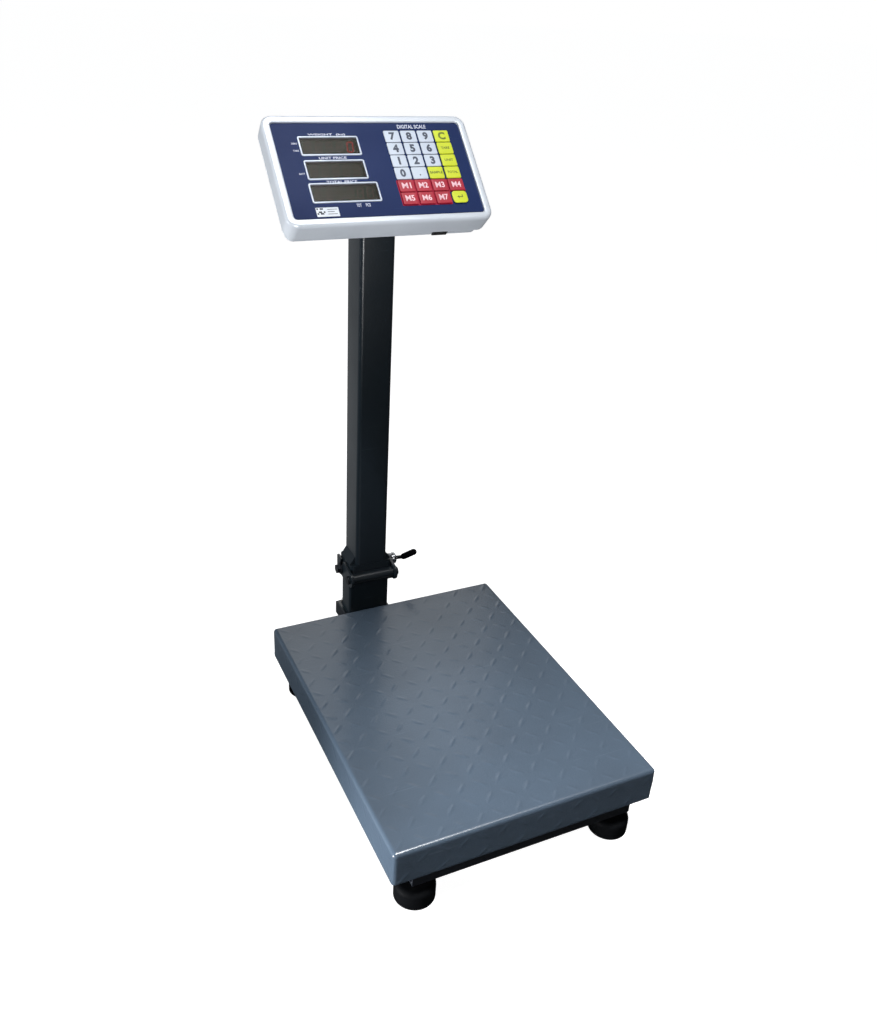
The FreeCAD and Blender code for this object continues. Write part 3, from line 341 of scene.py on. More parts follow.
def turned(profile, segments=48):
    """A profile of (radius, z) turned about the Z axis; ends on the axis close by themselves."""
    angle = np.linspace(0, 2 * math.pi, segments, endpoint=False)
    radius, z = np.array(profile, float).T
    x = radius[:, None] * np.cos(angle)
    y = radius[:, None] * np.sin(angle)
    points = np.stack([x, y, np.repeat(z[:, None], segments, 1)], -1)
    return surface(points)


def quarter_round(inset, z, radius, start, end, steps=5):
    """Profile points on an arc about (inset, z), from one angle in degrees to another."""
    angle = np.radians(np.linspace(start, end, steps))
    return list(zip(inset + radius * np.cos(angle), z + radius * np.sin(angle)))


def laid(shape, matrix):
    """A shape with its points put through a 4 x 4 matrix."""
    points, faces = shape
    matrix = np.array(matrix)
    return points @ matrix[:3, :3].T + matrix[:3, 3], faces


def piece(name, shape, body, materials, replaces=(), angle=35, material_of=None):
    """A finished mesh object: merged, with outward faces, smooth up to an angle between faces."""
    points, faces = shape
    mesh = bpy.data.meshes.new(name)
    mesh.from_pydata(np.asarray(points).tolist(), [], faces)
    materials = materials if isinstance(materials, (list, tuple)) else [materials]
    for material in materials:
        mesh.materials.append(material)
    if material_of is not None:
        mesh.polygons.foreach_set("material_index", np.asarray(material_of, dtype=np.int32))
    work = bmesh.new()
    work.from_mesh(mesh)
    bmesh.ops.remove_doubles(work, verts=work.verts, dist=1e-6)
    bmesh.ops.dissolve_degenerate(work, edges=work.edges, dist=1e-7)
    bmesh.ops.recalc_face_normals(work, faces=work.faces)
    work.to_mesh(mesh)
    work.free()
    mesh.polygons.foreach_set("use_smooth", np.ones(len(mesh.polygons), dtype=bool))
    mesh.set_sharp_from_angle(angle=math.radians(angle))
    thing = bpy.data.objects.new(name, mesh)
    scene.collection.objects.link(thing)
    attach(thing, body)
    if replaces:
        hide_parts(*replaces)
    return thing


print("mesh helpers ready")

# %% [markdown]
# ## Finishes
# Paint, moulded plastic and plated steel are never one flat colour.  A fine noise makes a grain
# that breaks up the highlights.  A broad noise moves the colour and the roughness between two
# values.  A third, drawn out along one direction, makes scratches, and smooth cells make the
# dimples of hammer paint.  Each effect is a node group that every material sets in its own way.

# %% Grain, scratches and hammer pattern
def build_grain_group():
    """Fine noise as bump, broad noise between two colours and between two roughnesses."""
    tree, given, result = new_group(
        "paint_grain",
        {"Colour": (0.5, 0.5, 0.5, 1), "Patch Colour": (0.4, 0.4, 0.4, 1), "Patch Scale": 9.0,
         "Grain Scale": 700.0, "Grain Depth": 0.0001, "Low Roughness": 0.3, "High Roughness": 0.45,
         "Height": 0.0}, {"Colour": 4, "Roughness": 1, "Normal": 3})
    place = object_place(tree)
    broad = add_node(tree, "ShaderNodeTexNoise", Vector=place, Scale=given["Patch Scale"], Detail=3.0)
    fine = add_node(tree, "ShaderNodeTexNoise", Vector=place, Scale=given["Grain Scale"], Detail=2.0)
    patch = range_of(tree, broad.outputs["Fac"], 0.35, 0.68)
    dull = range_of(tree, broad.outputs["Fac"], 0.3, 0.7, given["Low Roughness"],
                    given["High Roughness"])
    grain = math_of(tree, "MULTIPLY", fine.outputs["Fac"], given["Grain Depth"])
    height = math_of(tree, "ADD", grain, given["Height"])
    bump = add_node(tree, "ShaderNodeBump", Height=height, Distance=1.0, Strength=1.0)
    tree.links.new(colour_mix(tree, patch, given["Colour"], given["Patch Colour"]), result["Colour"])
    tree.links.new(dull, result["Roughness"])
    tree.links.new(bump.outputs["Normal"], result["Normal"])
    return tree


def build_scratch_group():
    """Thin marks: noise stretched 60 times along a slanted direction, kept where it peaks."""
    tree, given, result = new_group("fine_scratches", {"Scale": 30.0, "Slant": 0.5, "Amount": 0.5},
                                    {"Mask": 1})
    slant = add_node(tree, "ShaderNodeCombineXYZ", Z=given["Slant"]).outputs[0]
    place = add_node(tree, "ShaderNodeMapping", Vector=object_place(tree), Rotation=slant,
                     Scale=(1.0, 60.0, 12.0)).outputs[0]
    noise = add_node(tree, "ShaderNodeTexNoise", Vector=place, Scale=given["Scale"], Detail=4.0)
    peaks = range_of(tree, noise.outputs["Fac"], 0.66, 0.78)
    tree.links.new(math_of(tree, "MULTIPLY", peaks, given["Amount"]), result["Mask"])
    return tree


def build_hammer_group():
    """The dimples of hammertone paint: smooth cells, bent by noise, as a height in metres."""
    tree, given, result = new_group("hammertone", {"Cell Scale": 260.0, "Depth": 0.0001}, {"Height": 1})
    place = object_place(tree)
    bend = add_node(tree, "ShaderNodeTexNoise", Vector=place, Scale=90.0, Detail=1.0)
    bent = vector_of(tree, "MULTIPLY_ADD", bend.outputs["Color"], (0.006, 0.006, 0.006), place)
    cells = add_node(tree, "ShaderNodeTexVoronoi", {"feature": "SMOOTH_F1"}, Vector=bent,
                     Scale=given["Cell Scale"])
    height = math_of(tree, "MULTIPLY", cells.outputs["Distance"], given["Depth"])
    tree.links.new(height, result["Height"])
    return tree


grain_group = build_grain_group()
scratch_group = build_scratch_group()
hammer_group = build_hammer_group()
print("shared groups:", grain_group.name, scratch_group.name, hammer_group.name)

# %% [markdown]
# A finish is a material made from those groups.  Metallic, coat and specular level are the same
# all over a surface, so they are set on the shader's own sockets.

# %% Finish maker
def finish(name, colour, patch, roughness, patch_scale=9.0, grain=(700.0, 0.00004), metallic=0.0,
           coat=0.0, specular=0.5, hammer=None, scratches=None, wear_colour=None):
    """A material: grain for colour, roughness and normal, with hammer dimples and scratches.
    Colours are 0 to 255, and grain and hammer are a scale and a depth in metres."""
    material = bpy.data.materials.new(name)
    material.use_nodes = True
    tree = material.node_tree
    shader = tree.nodes["Principled BSDF"]
    shader.inputs["Metallic"].default_value = metallic
    shader.inputs["Coat Weight"].default_value = coat
    shader.inputs["Coat Roughness"].default_value = 0.15
    shader.inputs["Specular IOR Level"].default_value = specular
    body = add_node(tree, "ShaderNodeGroup", {"node_tree": grain_group}, Colour=linear(*colour),
                    Patch_Colour=linear(*patch), Patch_Scale=patch_scale, Grain_Scale=grain[0],
                    Grain_Depth=grain[1], Low_Roughness=roughness[0], High_Roughness=roughness[1])
    shown = body.outputs["Colour"]
    if hammer:
        cells = add_node(tree, "ShaderNodeGroup", {"node_tree": hammer_group}, Cell_Scale=hammer[0],
                         Depth=hammer[1])
        tree.links.new(cells.outputs["Height"], body.inputs["Height"])
    if scratches:
        marks = add_node(tree, "ShaderNodeGroup", {"node_tree": scratch_group}, Scale=scratches[0],
                         Slant=scratches[1], Amount=scratches[2])
        shown = colour_mix(tree, marks.outputs["Mask"], shown, linear(*wear_colour))
    tree.links.new(shown, shader.inputs["Base Color"])
    tree.links.new(body.outputs["Roughness"], shader.inputs["Roughness"])
    tree.links.new(body.outputs["Normal"], shader.inputs["Normal"])
    return material


hammertone_paint = finish("hammertone_paint", (58, 70, 83), (52, 63, 75), (0.29, 0.35),
                          patch_scale=7.0, grain=(1500.0, 0.00003), coat=0.35, hammer=(330.0, 0.00009),
                          scratches=(14.0, 0.7, 0.3), wear_colour=(96, 110, 122))
column_paint = finish("column_paint", (25, 33, 39), (21, 28, 34), (0.29, 0.4),
                      patch_scale=11.0, grain=(1400.0, 0.00003), coat=0.2, hammer=(420.0, 0.00006),
                      scratches=(20.0, 0.2, 0.25), wear_colour=(66, 76, 82))
frame_paint = finish("frame_paint", (19, 23, 30), (15, 19, 25), (0.36, 0.5),
                     grain=(900.0, 0.00006), scratches=(22.0, 1.1, 0.3), wear_colour=(90, 94, 98))
zinc_plate = finish("zinc_plate", (190, 192, 190), (160, 160, 152), (0.29, 0.42),
                    patch_scale=60.0, grain=(1600.0, 0.00002), metallic=1.0)
bright_steel = finish("bright_steel", (200, 202, 206), (176, 178, 182), (0.14, 0.26),
                      patch_scale=40.0, grain=(1800.0, 0.00001), metallic=1.0,
                      scratches=(40.0, 0.1, 0.3), wear_colour=(120, 122, 126))
dark_steel = finish("dark_steel", (44, 48, 54), (34, 38, 44), (0.3, 0.45), patch_scale=60.0,
                    grain=(1600.0, 0.00002), metallic=0.7, scratches=(40.0, 0.3, 0.3),
                    wear_colour=(120, 124, 130))
black_rubber = finish("black_rubber", (3, 4, 6), (6, 7, 9), (0.6, 0.8),
                      patch_scale=30.0, grain=(1300.0, 0.00005), specular=0.05)
black_plastic = finish("black_plastic", (18, 18, 20), (28, 28, 30), (0.34, 0.5),
                       patch_scale=30.0, grain=(2600.0, 0.00002))
silver_casing = finish("silver_casing", (216, 223, 232), (206, 213, 223), (0.29, 0.4),
                       patch_scale=14.0, grain=(2400.0, 0.000012), metallic=0.2, coat=0.3,
                       scratches=(26.0, 0.4, 0.2), wear_colour=(160, 166, 176))
print("finishes:", len(bpy.data.materials))

# %% [markdown]
# ## The tray
# The tray is tread plate: a sheet rolled with rows of lens-shaped lugs that lie at 45 degrees,
# one way and the other in turn.  Its skirts are folded from the same sheet, so the pattern runs
# on over the bend.  Bump in a material would not show at the edge, so the lugs are real: each
# point of a fine grid is raised by a height worked out from where it lay before folding.

# %% Tread pattern
lug_pitch = 25 * mm
lug_length = 21 * mm
lug_width = 5 * mm
lug_rise = 0.35 * mm


def lug_height(s, t):
    """Height of the rolled pattern at (s, t) on the flat sheet.  The sheet is a lattice of square
    cells; the lug in a cell lies at +45 or -45 degrees as in a chessboard.  Its half width falls
    with the square of the distance along it, and its section is a smooth hump."""
    column = np.floor(s / lug_pitch)
    row = np.floor(t / lug_pitch)
    x = s - (column + 0.5) * lug_pitch
    y = t - (row + 0.5) * lug_pitch
    way = np.where((column + row) % 2 == 0, 1.0, -1.0)
    along = (x + way * y) / math.sqrt(2)
    across = (y - way * x) / math.sqrt(2)
    half_width = lug_width / 2 * np.clip(1 - (along / (lug_length / 2)) ** 2, 0, 1)
    hump = np.clip(1 - (across / np.maximum(half_width, 1e-6)) ** 2, 0, 1)
    hump = hump ** 1.3 * (half_width / (lug_width / 2)) ** 0.5
    return lug_rise * hump


# %% Tray surface
tray_bend = 5 * mm
tray_sheet = 3 * mm
grid_step = 1.65 * mm


def tray_path(half_x, half_y, corner_steps=7):
    """Places round the tray's flat top and the outward direction at each; a corner keeps its
    place while the direction swings through a quarter turn."""
    places = []
    outward = []
    sides = [((half_x, -half_y), (half_x, half_y), 0), ((half_x, half_y), (-half_x, half_y), 90),
             ((-half_x, half_y), (-half_x, -half_y), 180), ((-half_x, -half_y), (half_x, -half_y), 270)]
    for start, end, heading in sides:
        start, end = np.array(start), np.array(end)
        count = int(round(np.linalg.norm(end - start) / grid_step)) + 1
        share = np.linspace(0, 1, count)[:, None]
        places.append(start + share * (end - start))
        turn = math.radians(heading)
        outward.append(np.tile([math.cos(turn), math.sin(turn)], (count, 1)))
        swing = np.radians(np.linspace(heading, heading + 90, corner_steps + 2)[1:-1])
        places.append(np.tile(end, (corner_steps, 1)))
        outward.append(np.stack([np.cos(swing), np.sin(swing)], -1))
    return np.concatenate(places), np.concatenate(outward)


def skirt_profile(depth):
    """The folded edge: distance out, height down, distance along the sheet, and the direction in
    which a lug rises (out, up); it goes over the bend, down, round the cut edge, and back up."""
    edge = 0.6 * mm
    rows = []
    for angle in np.radians(np.linspace(0, 90, 7)):
        rows.append((tray_bend * math.sin(angle), tray_bend * (math.cos(angle) - 1),
                     tray_bend * angle, math.sin(angle), math.cos(angle), 1))
    for z in np.linspace(-tray_bend, -depth + edge, 25)[1:]:
        rows.append((tray_bend, z, tray_bend * math.pi / 2 - z - tray_bend, 1, 0, 1))
    rows.append((tray_bend - 0.2 * mm, -depth + 0.15 * mm, 0, 1, 0, 0))
    rows.append((tray_bend - edge, -depth, 0, 1, 0, 0))
    rows.append((tray_bend - tray_sheet + edge, -depth, 0, 1, 0, 0))
    rows.append((tray_bend - tray_sheet, -depth + edge, 0, 1, 0, 0))
    rows.append((tray_bend - tray_sheet, -tray_bend, 0, 1, 0, 0))
    rows.append((tray_bend - tray_sheet - 1.5 * mm, -tray_sheet, 0, 1, 0, 0))
    return np.array(rows)


def tray_shape(low, high):
    """The whole tray: the raised grid of its top, the folded skirts, and the flat underside."""
    half_x = (high[0] - low[0]) / 2 - tray_bend
    half_y = (high[1] - low[1]) / 2 - tray_bend
    centre = (low + high) / 2
    top = high[2]
    count_x = int(round(2 * half_x / grid_step)) + 1
    count_y = int(round(2 * half_y / grid_step)) + 1
    x, y = np.meshgrid(np.linspace(-half_x, half_x, count_x), np.linspace(-half_y, half_y, count_y))
    flat = np.stack([x, y, lug_height(x, y)], -1)
    flat_faces = grid_quads(count_y, count_x, wrap_columns=False).tolist()
    places, outward = tray_path(half_x, half_y)
    profile = skirt_profile(high[2] - low[2])
    out, up, walked, rise_out, rise_up, keep = profile.T[:, :, None]
    sheet = places + outward * walked[..., None]
    rise = lug_height(sheet[..., 0], sheet[..., 1]) * keep
    ground = places + outward * (out + rise * rise_out)[..., None]
    rings = np.concatenate([ground, (up + rise * rise_up)[..., None]], -1)
    rings_points = rings.reshape(-1, 3)
    columns = len(places)
    ring_faces = grid_quads(len(profile), columns).tolist()
    ring_faces.append(list(range((len(profile) - 1) * columns, len(profile) * columns)))
    points, faces = joined_shapes([(flat.reshape(-1, 3), flat_faces), (rings_points, ring_faces)])
    return points + [centre[0], centre[1], top], faces


tray_piece = piece("tray_tread_plate", tray_shape(tray_low, tray_high), "tray",
                   hammertone_paint, replaces=["tray"], angle=50)
print("tray faces:", len(tray_piece.data.polygons))

# %% [markdown]
# ## Feet
# Each foot is a hard rubber pad with a rolled shoulder, screwed on an M10 stud.  A pad is a
# profile turned about its stud.  The stud's thread is a true helix: its radius is a triangle
# wave of height minus turn, so the ridge climbs one pitch for each turn.

# %% Feet
foot_radius = 25 * mm
pad_height = 25 * mm
stud_radius = 5 * mm
thread_pitch = 1.5 * mm
thread_depth = 0.75 * mm
rows_per_pitch = 6


def threaded_stud(low, high, radius, pitch, depth, segments=28):
    """A rod along Z whose radius falls by depth times a triangle wave of (z / pitch - turn)."""
    rows = int((high - low) / pitch * rows_per_pitch)
    z = np.linspace(low, high, rows)[:, None]
    turn = np.arange(segments)[None, :] / segments
    wave = np.abs(((z / pitch - turn) % 1.0) - 0.5) * 2
    fade = np.clip((high - z) / (2 * pitch), 0, 1)
    r = radius - depth * wave * fade - (1 - fade) * depth
    angle = 2 * math.pi * turn
    points = np.stack([r * np.cos(angle), r * np.sin(angle), np.broadcast_to(z, r.shape)], -1)
    return surface(points)


def pad_profile():
    """Recessed sole, straight flank with one groove, rolled shoulder, and a collar at the stud."""
    r, h = foot_radius, pad_height
    shoulder = 7 * mm
    recess = 0.6 * mm
    socket = 6 * mm
    rows = [(0, recess), (r - 9 * mm, recess), (r - 8.4 * mm, 0), (r - 1.5 * mm, 0), (r, 1.5 * mm)]
    rows += [(r, 5 * mm), (r - recess, 5.4 * mm), (r - recess, 6.2 * mm), (r, 6.6 * mm)]
    rows += quarter_round(r - shoulder, h - shoulder, shoulder, 0, 90, 9)
    rows += [(9.5 * mm, h), (9 * mm, h - 0.8 * mm), (8.2 * mm, h - 0.8 * mm), (8 * mm, h - 0.3 * mm)]
    rows += [(stud_radius, h - 0.3 * mm), (stud_radius, h - socket), (0, h - socket)]
    return rows


foot_nodes = [name for name in frame["nodes"] if name.startswith("foot_")]
for foot_node in sorted(foot_nodes):
    foot_low, foot_high = node_box(foot_node)
    foot_x, foot_y = (foot_low[:2] + foot_high[:2]) / 2
    foot_place = Matrix.Translation((foot_x, foot_y, 0))
    piece(foot_node + "_pad", laid(turned(pad_profile(), 64), foot_place), foot_node,
          black_rubber, replaces=[foot_node])
    stud = threaded_stud(pad_height - 5.5 * mm, foot_high[2], stud_radius, thread_pitch, thread_depth)
    piece(foot_node + "_stud", laid(stud, foot_place), foot_node, zinc_plate, angle=60)
print("feet:", len(foot_nodes))

# %% [markdown]
# ## Frame and fold joint
# Welded and cast parts keep the shape that the CAD gives them.  Real edges are never knife
# sharp, though, and a small round is what catches the light, so each is a copy of its CAD node,
# with its flat faces made whole and a narrow bevel on its sharp edges.

# %% Eased copies
sharp_edge = math.radians(30)


def eased(node, body, material, width, name=None):
    """A copy of a CAD node: points merged, flat faces joined, sharp edges bevelled by width."""
    mesh = frame["nodes"][node].data.copy()
    mesh.name = name or node + "_eased"
    mesh.materials.clear()
    mesh.materials.append(material)
    work = bmesh.new()
    work.from_mesh(mesh)
    bmesh.ops.remove_doubles(work, verts=work.verts, dist=2e-6)
    bmesh.ops.dissolve_limit(work, angle_limit=math.radians(1), verts=work.verts, edges=work.edges)
    for face in work.faces:
        face.smooth = True
        face.material_index = 0
    work.to_mesh(mesh)
    work.free()
    for attribute in [a.name for a in mesh.attributes if a.name == "custom_normal"]:
        mesh.attributes.remove(mesh.attributes[attribute])
    mesh.set_sharp_from_angle(angle=sharp_edge)
    thing = bpy.data.objects.new(mesh.name, mesh)
    scene.collection.objects.link(thing)
    bevel = thing.modifiers.new("eased_edges", "BEVEL")
    bevel.width = width
    bevel.segments = 2
    bevel.limit_method = "ANGLE"
    bevel.angle_limit = sharp_edge
    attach(thing, body)
    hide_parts(node)
    return thing


cell_alloy = finish("cell_alloy", (206, 208, 210), (190, 192, 196), (0.25, 0.4), metallic=1.0,
                    grain=(2200.0, 0.00002))
for node, body, slot, material, width in (
        ("base_frame", "base", "frame_paint", frame_paint, 0.6),
        ("load_frame", "base", "frame_paint", frame_paint, 0.5),
        ("load_cell", "base", "alloy", cell_alloy, 0.4),
        ("lower_post", "base", "frame_paint", column_paint, 0.6),
        ("hinge_cradle", "base", "column_paint", column_paint, 0.5),
        ("column_shoe", "column", "column_paint", column_paint, 0.6),
        ("tilt_yoke", "column", "column_paint", column_paint, 0.5),
        ("head_mount", "head", "column_paint", column_paint, 0.4),
        ("base_fasteners", "base", "zinc_steel", zinc_plate, 0.3),
        ("overload_stops", "base", "zinc_steel", zinc_plate, 0.3),
        ("tilt_bolt", "column", "zinc_steel", zinc_plate, 0.3),
        ("case_screws", "head", "zinc_steel", zinc_plate, 0.3),
        ("hinge_pin", "base", "dark_steel", dark_steel, 0.4),
        ("clamp_rod", "column", "dark_steel", dark_steel, 0.3),
        ("tray_buffers", "base", "black_rubber", black_rubber, 0.4)):
    eased(node, body, material, width * mm)
print("eased copies made")

# %% [markdown]
# ## Column
# The column is a drawn square tube with round corners and the same hammer paint as the tray, but
# darker.  Its section is a rounded square, carried straight up, with a wall and a cut edge.

# %% Column tube
column_low, column_high = node_box("column_tube")
column_width = column_high[0] - column_low[0]
column_wall = 3 * mm
column_corner = 6 * mm
column_middle = ((column_low[0] + column_high[0]) / 2, (column_low[1] + column_high[1]) / 2)
column_profile = [
    (0.4 * mm, column_low[2]), (0, column_low[2] + 0.4 * mm), (0, column_high[2] - 0.4 * mm),
    (0.4 * mm, column_high[2]), (column_wall, column_high[2]), (column_wall, column_low[2])]
tube = carried(column_width, column_width, column_corner, column_profile, steps=8, wrap=True)
piece("column_square_tube", laid(tube, Matrix.Translation((*column_middle, 0))), "column",
      column_paint, replaces=["column_tube"])
print("column:", round(column_high[2] - column_low[2], 3), "m")

# %% [markdown]
# ## Clamp lever
# The lever is a bright bent rod in a turned hub, with a black sleeve pushed on its end.  The hub
# is a profile turned about the clamp rod.  The sleeve is a tube along the arm with three shallow
# finger grooves and a round end.

# %% Lever and grip
def tube_along(points, radii, segments=24):
    """Rings of given radii round a straight or bent line of points, each square to the line."""
    points = np.array(points, float)
    ahead = np.gradient(points, axis=0)
    ahead /= np.linalg.norm(ahead, axis=1)[:, None]
    side = np.cross(ahead, (1.0, 0.2, 0.1))
    side /= np.linalg.norm(side, axis=1)[:, None]
    other = np.cross(ahead, side)
    angle = np.linspace(0, 2 * math.pi, segments, endpoint=False)
    ring = side[:, None] * np.cos(angle)[:, None] + other[:, None] * np.sin(angle)[:, None]
    return surface(points[:, None] + ring * np.array(radii)[:, None, None])


lever_joint = next(joint for joint in frame["joints"] if joint["name"] == "clamp_lever_turn")
lever_axis = np.array(lever_joint["pos_m"])
hub_radius = 9 * mm
hub_length = 13 * mm
arm_radius = 3 * mm
grip_radius = 5 * mm
hub_start = node_box("clamp_lever")[0][0]
bore_radius = 4.06 * mm
hub_round = 2 * mm
hub_waist = hub_radius - 0.5 * mm
hub_profile = [(bore_radius, 0), (hub_radius - 0.6 * mm, 0), (hub_radius, 0.6 * mm),
               (hub_radius, 2.4 * mm), (hub_waist, 3 * mm), (hub_waist, 8 * mm), (hub_radius, 8.6 * mm)]
hub_profile += quarter_round(hub_radius - hub_round, hub_length - hub_round, hub_round, 0, 90, 6)
hub_profile += [(0, hub_length), (0, hub_length - hub_round), (bore_radius, hub_length - hub_round)]
hub_place = Matrix.Translation((hub_start, lever_axis[1], lever_axis[2]))
along_x = hub_place @ Matrix.Rotation(math.pi / 2, 4, "Y")
hub_points, hub_faces = turned(hub_profile + [hub_profile[0]], 40)
hub_faces = hub_faces[:-2]
hub = laid((hub_points, hub_faces), along_x)
arm_root = np.array([hub_start + 9 * mm, lever_axis[1], lever_axis[2]])
arm_bend = np.array([hub_start + 17 * mm, lever_axis[1] - 22.3 * mm, lever_axis[2] + 13.6 * mm])
arm_end = np.array([hub_start + 27 * mm, lever_axis[1] - 46.4 * mm, lever_axis[2] + 35.4 * mm])
share = np.linspace(0, 1, 15)[:, None]
smooth = np.concatenate([arm_root + share * (arm_bend - arm_root),
                         arm_bend + share[1:] * (arm_end - arm_bend)])
for _ in range(6):
    smooth[1:-1] = (smooth[:-2] + 2 * smooth[1:-1] + smooth[2:]) / 4
arm = tube_along(smooth[:-3], np.full(len(smooth) - 3, arm_radius))
piece("lever_arm", joined_shapes([hub, arm]), "lever", bright_steel,
      replaces=["clamp_lever"], angle=40)

grip_share = np.linspace(0, 1, 33)
grip_line = arm_bend + (grip_share * 0.999)[:, None] * (arm_end - arm_bend)
grip_length = np.linalg.norm(arm_end - arm_bend)
from_end = (1 - grip_share) * grip_length
grip_round = np.sqrt(np.clip(1 - np.clip(1 - from_end / grip_radius, 0, 1) ** 2, 0.0004, 1))
groove_depth = 0.35 * mm
grooves = groove_depth * np.clip(np.sin(grip_share * math.pi * 9), 0, 1) * (grip_share < 0.8)
grip_radii = (grip_radius - grooves) * grip_round * np.clip(0.86 + grip_share * 6, 0, 1)
piece("lever_grip_sleeve", tube_along(grip_line, grip_radii, 28), "lever", black_rubber,
      replaces=["lever_grip"])
print("lever made")

# %% [markdown]
# ## The head's own axes
# The head leans back, so everything on it is drawn flat first: u across the panel, v up the
# panel, and n out of it.  One matrix then lays it in place.  The matrix comes from the panel's
# CAD node: its box's middle is the middle of the sheet, half a sheet below the panel's face.

# %% Head axes
lean = math.radians(45)
panel_sheet = 2 * mm
panel_low, panel_high = node_box("control_panel")
panel_across = np.array([1.0, 0.0, 0.0])
panel_up = np.array([0.0, math.cos(lean), math.sin(lean)])
panel_out = np.array([0.0, -math.sin(lean), math.cos(lean)])
panel_face = (panel_low + panel_high) / 2 + panel_out * panel_sheet / 2
head_matrix = Matrix((panel_across, panel_up, panel_out)).transposed().to_4x4()
head_matrix.translation = panel_face
panel_width = panel_high[0] - panel_low[0] + 0.4 * mm
panel_height = (panel_high[2] - panel_low[2]) / math.sin(lean) - panel_sheet + 0.4 * mm
print("panel:", round(panel_width, 4), "x", round(panel_height, 4))


def on_head(shape, u=0.0, v=0.0, n=0.0):
    """A shape drawn about the Z axis, moved to (u, v, n) on the head and laid in place."""
    return laid(shape, head_matrix @ Matrix.Translation((u, v, n)))


# %% [markdown]
# ## Casing
# The front casing is one moulded frame.  Its section has a flat border that rolls into the side
# wall over a 4 mm round, a wall that draws in a little towards the back, and a ledge that carries
# the panel.  The section is a closed loop, carried round the outline.

# %% Front casing
border = 10.5 * mm
bezel_corner = 15 * mm
bezel_proud = 2.5 * mm
bezel_depth = 25 * mm
bezel_wall = 2.5 * mm
casing_round = 4 * mm
ledge_low = -4.5 * mm
ledge_in = border + 10 * mm
bezel_profile = [(border, -panel_sheet), (border, 0.9 * mm)]
bezel_profile += quarter_round(border - 1.1 * mm, 1.2 * mm, 1.1 * mm, 0, 90, 5)
bezel_profile += [(border - casing_round, bezel_proud - 0.04 * mm)]
bezel_profile += quarter_round(casing_round, bezel_proud - casing_round, casing_round, 90, 180, 9)
bezel_profile += [(0.1 * mm, -6 * mm), (0.7 * mm, -bezel_depth + 2.2 * mm),
                  (1.0 * mm, -bezel_depth + 2 * mm), (1.0 * mm, -bezel_depth + 1.4 * mm),
                  (0.8 * mm, -bezel_depth + 1.1 * mm),
                  (1.1 * mm, -bezel_depth), (bezel_wall + 1 * mm, -bezel_depth),
                  (bezel_wall + 0.4 * mm, ledge_low), (ledge_in, ledge_low),
                  (ledge_in, -panel_sheet)]
bezel = carried(panel_width + 2 * border, panel_height + 2 * border, bezel_corner, bezel_profile, 9,
                wrap=True)
piece("front_casing", on_head(bezel), "head", silver_casing, replaces=["front_bezel"])
print("front casing made")

# %% [markdown]
# The rear cover keeps its CAD shape, with the slot for the switch and the holes for the glands.
# The parts that stand on it are moulded black plastic.

# %% Rear cover, switch and glands
eased("back_cover", "head", silver_casing, 0.3 * mm)
eased("power_switch", "head", black_plastic, 0.3 * mm)
eased("power_rocker", "rocker", black_plastic, 0.3 * mm)
eased("cable_glands", "head", black_plastic, 0.4 * mm)
print("rear parts made")

# %% [markdown]
# ## Lettering
# Labels are generic words and numbers.  A word is set in the built-in font, made a mesh, and
# then scaled so that its capitals have the wanted height and the word the wanted width.  A
# small offset fattens the strokes, as on a printed keypad.

# %% Words as meshes
print_thick = 0.06 * mm


def word_shape(words, height, width=None, fat=0.02, thick=print_thick):
    """Thin solid words centred on (0, 0), with their back at z = 0."""
    curve = bpy.data.curves.new("word", "FONT")
    curve.body = words
    curve.offset = fat
    curve.resolution_u = 3
    curve.extrude = 1.0
    holder = bpy.data.objects.new("word", curve)
    flat = bpy.data.meshes.new_from_object(holder)
    bpy.data.objects.remove(holder)
    points = np.array([vertex.co[:] for vertex in flat.vertices])
    faces = [list(polygon.vertices) for polygon in flat.polygons]
    bpy.data.meshes.remove(flat)
    bpy.data.curves.remove(curve)
    low, high = points.min(axis=0), points.max(axis=0)
    points = points - (low + high) / 2
    scale_y = height / (high[1] - low[1])
    scale_x = width / (high[0] - low[0]) if width else scale_y
    points = points * [scale_x, scale_y, thick / 2] + [0, 0, thick / 2]
    return points, faces


def flat_shape(points, low=0.0, thick=print_thick):
    """A thin prism on a polygon: its outline at two heights, closed by two flat faces."""
    outline = np.array(points, float)
    rings = [np.column_stack([outline, np.full(len(outline), z)]) for z in (low, low + thick)]
    return surface(np.array(rings))


def moved_shape(shape, u, v, n=0.0):
    """A shape moved by (u, v, n)."""
    return shape[0] + np.array([u, v, n]), shape[1]


def bar_shape(u, v, width, height, corner=0.0, low=0.0, thick=print_thick):
    """A thin bar with round corners centred on (u, v)."""
    outline = rounded_outline(width, height, max(corner, 0.01 * mm), 4) + [u, v]
    return flat_shape(outline, low, thick)


print("lettering ready")

# %% [markdown]
# ## Control panel
# The panel is a printed film on a stiff sheet.  The film's own colours are worked out in its
# material from the place on the panel, which each vertex carries as an attribute: a node group
# gives a mask for a box with round corners, and the masks choose navy film or crimson ground.

